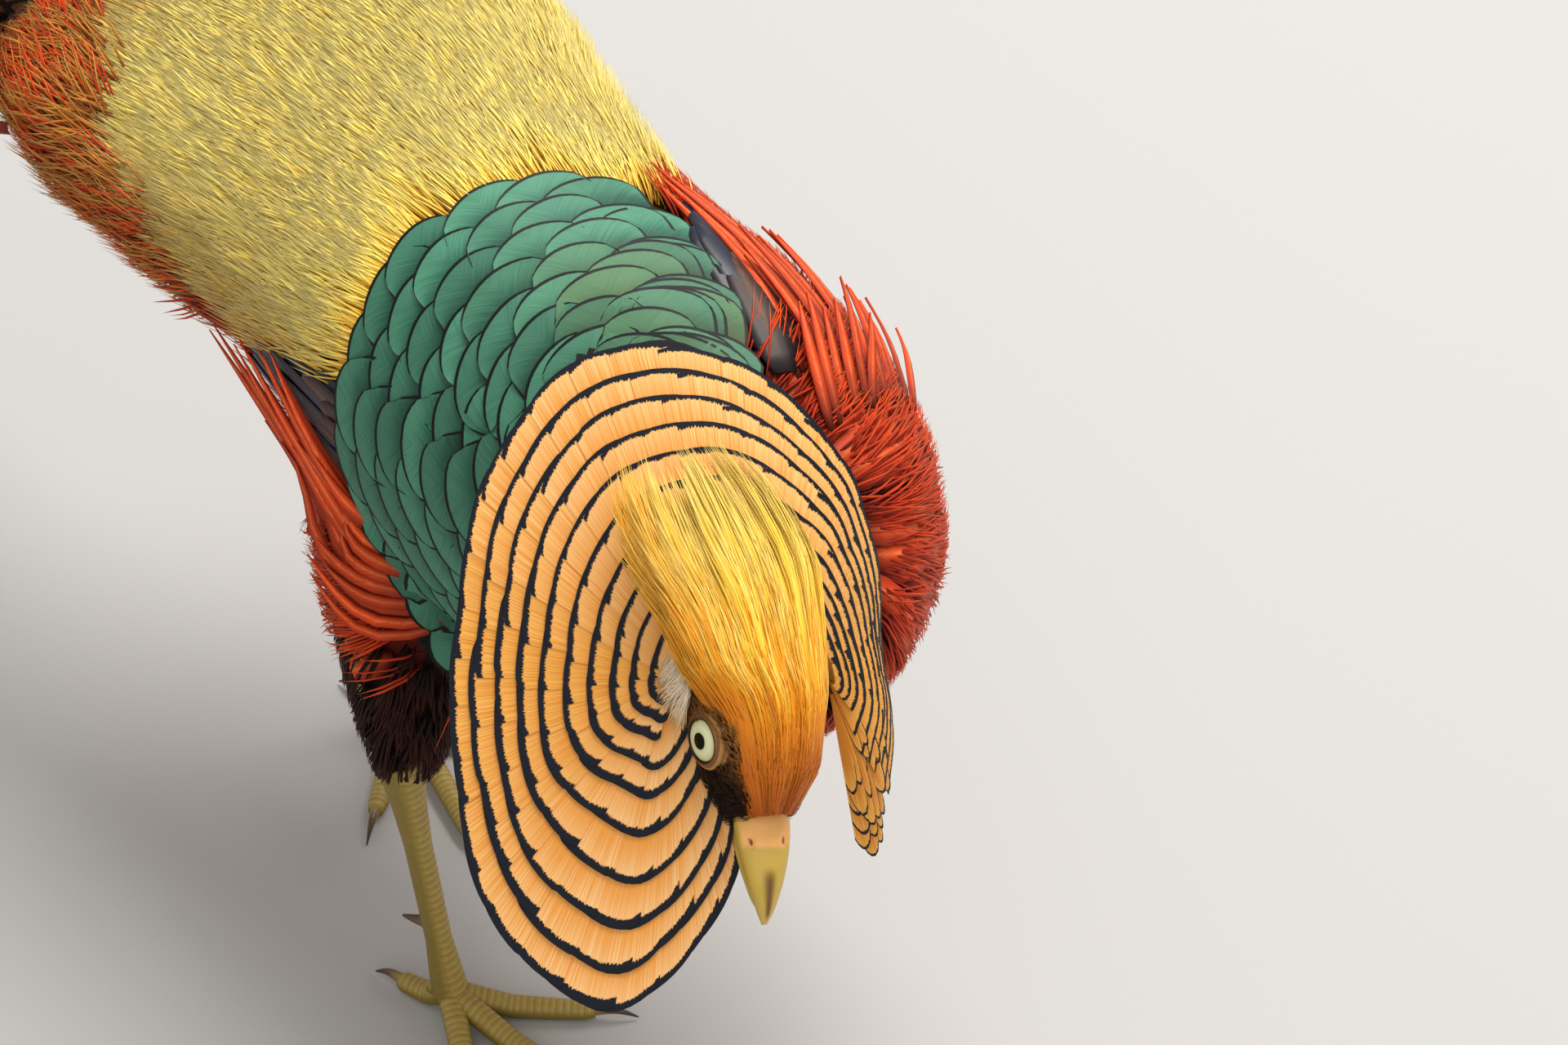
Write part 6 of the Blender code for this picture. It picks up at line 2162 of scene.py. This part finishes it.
@dataclass
class Tail:
    """The vaulted tail of eighteen feathers and the scarlet coverts over its root."""

    stance: Stance
    base: Point = (0.011, 0.15, 0.1865)
    yaw: float = 13.0
    decline: float = 6.0
    droop: float = 5.0
    length: float = 0.65
    # Length, half width and splay in degrees of each pair, the middle pair first
    pairs: Table = (
        (0.65, 0.019, 0), (0.59, 0.017, 0.4), (0.49, 0.0165, 0.9), (0.4, 0.016, 1.6), (0.32, 0.015, 2.6),
        (0.26, 0.014, 4), (0.215, 0.013, 5.6), (0.185, 0.012, 7.4), (0.16, 0.011, 9.4),
    )
    level: float = 0.00135
    stations: int = 44
    coverts: int = 46

    def axes(self, distance: Array) -> tuple[Array, ...]:
        """Centre, along, across and up of the tail at distances from its base."""
        distance = np.atleast_1d(distance)
        yaw = math.radians(self.yaw)
        flat = np.array((-math.sin(yaw), math.cos(yaw), 0))
        steps = distance[:, None] * np.linspace(0, 1, 30)[None]
        dip = np.radians(self.decline + self.droop * steps / self.length)
        run, fall = np.trapz(np.cos(dip), steps, axis=1), np.trapz(np.sin(dip), steps, axis=1)
        along = flat * np.cos(dip[:, -1:]) - UP * np.sin(dip[:, -1:])
        across = unit(np.cross(along, (0, 0, 1)))
        centre = (
            np.array(self.base) + self.stance.shift() + flat * run[:, None]
            - UP * fall[:, None]
        )
        return centre, along, across, np.cross(across, along)

    def feather(self, pair: int, side: int) -> tuple[Array, Array, Array]:
        """Shaft, normals and half widths of one tail feather."""
        length, half_width, splay = self.pairs[pair]
        shares = np.linspace(0, 1, self.stations)
        distance = 0.015 + shares * length
        centre, _, across, up = self.axes(distance)
        vault = math.radians(8 + 5.5 * pair)
        outward = across * side * math.cos(vault) - up * math.sin(vault)
        taper = 1 - 0.9 * np.maximum(0.0, (shares - 0.5) / 0.5) ** 1.7
        width = half_width * np.minimum(1.0, 0.42 + 2.4 * shares) * taper
        first = 0.004 if pair == 0 else width + 0.0012
        reach = first + math.sin(math.radians(splay)) * distance
        down = self.level * (pair + (0.5 if side > 0 or pair else 0.0)) - 0.004
        path = centre + outward * np.broadcast_to(reach, shares.shape)[:, None] - up * down
        normals = unit(up * math.cos(vault) + across * side * math.sin(vault))
        return path, normals, width

    def build(self) -> None:
        """Makes tail and coverts."""
        made = [self.feather(pair, side) for pair in range(len(self.pairs)) for side in (-1, 1)]
        path, normals, widths = (np.array([m[k] for m in made]) for k in range(3))
        draw = np.random.default_rng(91)
        kind = np.repeat([0.0] + [1.0] * (len(self.pairs) - 1), 2)
        shape = VaneShape(columns=11, thickness_mm=0.5, camber_mm=1.2, tip_drop_mm=1.0, shaft_mm=0.7)
        soup = vanes(path, normals, widths, shape, {"seed": draw.random(len(made)), "tint": kind})
        finish = TailFinish("spotted tail feather, melanin", Gloss(0.5, 0.3))
        soup.place("tail_feathers", finish, "tail", "tail", crisp=True)
        self.cover()

    def cover(self) -> None:
        """The long narrow scarlet coverts, in layers round the root of the tail."""
        draw = np.random.default_rng(92)
        angle = np.radians(draw.uniform(-98, 98, self.coverts))
        angle[:10] = np.radians(np.linspace(-92, 92, 10) + draw.normal(0, 4, 10))
        length = draw.uniform(0.05, 0.12, self.coverts)
        length[:10] = draw.uniform(0.13, 0.19, 10)
        shares = np.linspace(0, 1, 12)
        paths, normals = [], []
        for turn, reach in zip(angle, length):
            start = draw.uniform(-0.004, 0.02)
            centre, _, across, up = self.axes(start + shares * reach)
            out = across * math.sin(turn) + up * math.cos(turn)
            radius = 0.0185 + 0.012 * shares + abs(math.sin(turn)) * (0.012 + 0.02 * shares)
            radius = radius + draw.uniform(-0.001, 0.003)
            paths.append(centre - up * (0.004 + 0.008 * shares * shares)[:, None] + out * radius[:, None])
            normals.append(out)
        outline = (0.5, 0.8, 1, 1, 1, 0.95, 0.88, 0.78, 0.64, 0.48, 0.28, 0.06)
        widths = np.outer(draw.uniform(0.0024, 0.0052, self.coverts), outline)
        shape = VaneShape(columns=5, thickness_mm=0.3, camber_mm=0.7, tip_drop_mm=0.3, shaft_mm=0.2)
        values = {"seed": draw.random(self.coverts), "tint": draw.random(self.coverts)}
        soup = vanes(np.array(paths), np.array(normals), widths, shape, values)
        finish = RibbonFinish(
            "scarlet tail covert, carotenoid", Gloss(0.42, 0.45), middle="#F58A48", body="#DC4610",
            edge="#A02408", root="#7A1C0A",
        )
        soup.place("tail_covert_feathers", finish, "scarlet", "upper_coverts")


@dataclass
class Contours:
    """Broad soft feathers under the loose plumes of a tract, so that its colour closes."""

    name: str
    slot: str
    finish: Finish
    count: int
    seed: int
    length_mm: tuple[float, float] = (20.0, 32.0)
    half_width_mm: tuple[float, float] = (2.4, 3.8)
    lifts: Row = (-1.5, -0.5, 0.1, 0.4, 0.6)
    outline: Row = (0.6, 1.0, 1.0, 0.75, 0.16)

    def build(self, surface: Surface, mask: Field, flow: Field) -> None:
        """Lays the feathers in the tract."""
        draw = np.random.default_rng(self.seed)
        roots = surface.sown(mask, self.count, self.seed)
        count = len(roots)
        lengths = draw.uniform(*self.length_mm, count) * MM
        share = np.linspace(0, 1, len(self.lifts))
        lifts = np.array(self.lifts)[None] + share[None] ** 2 * draw.uniform(0, 0.7, (count, 1))
        path, normals = surface.lay(roots, flow, lengths, list(lifts.T), draw.normal(0, 0.12, count))
        widths = np.outer(draw.uniform(*self.half_width_mm, count), self.outline) * MM
        shape = VaneShape(3, 0.15, camber_mm=0.12, tip_drop_mm=1.0)
        soup = vanes(path, normals, widths, shape, {"seed": draw.random(count)})
        soup.place(self.name, self.finish, self.slot)


def main() -> None:
    """Builds the bird's looks in order and reports each piece."""
    logging.basicConfig(level=logging.INFO, format="%(name)s: %(message)s")
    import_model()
    stance = Stance()
    Studio(stance).build()
    tracts = Tracts(stance)
    surface = Skin(tracts).build()
    Wings(tracts).build(surface)
    Plumage(tracts).build(surface)
    Mantle(tracts).build(surface)
    Cape(stance).build()
    Crest(stance).build()
    Eyes(stance).build()
    Bill(stance).build()
    Face(stance).build(surface)
    Tail(stance).build()
    Legs(stance).build()


if __name__ == "__main__":
    main()
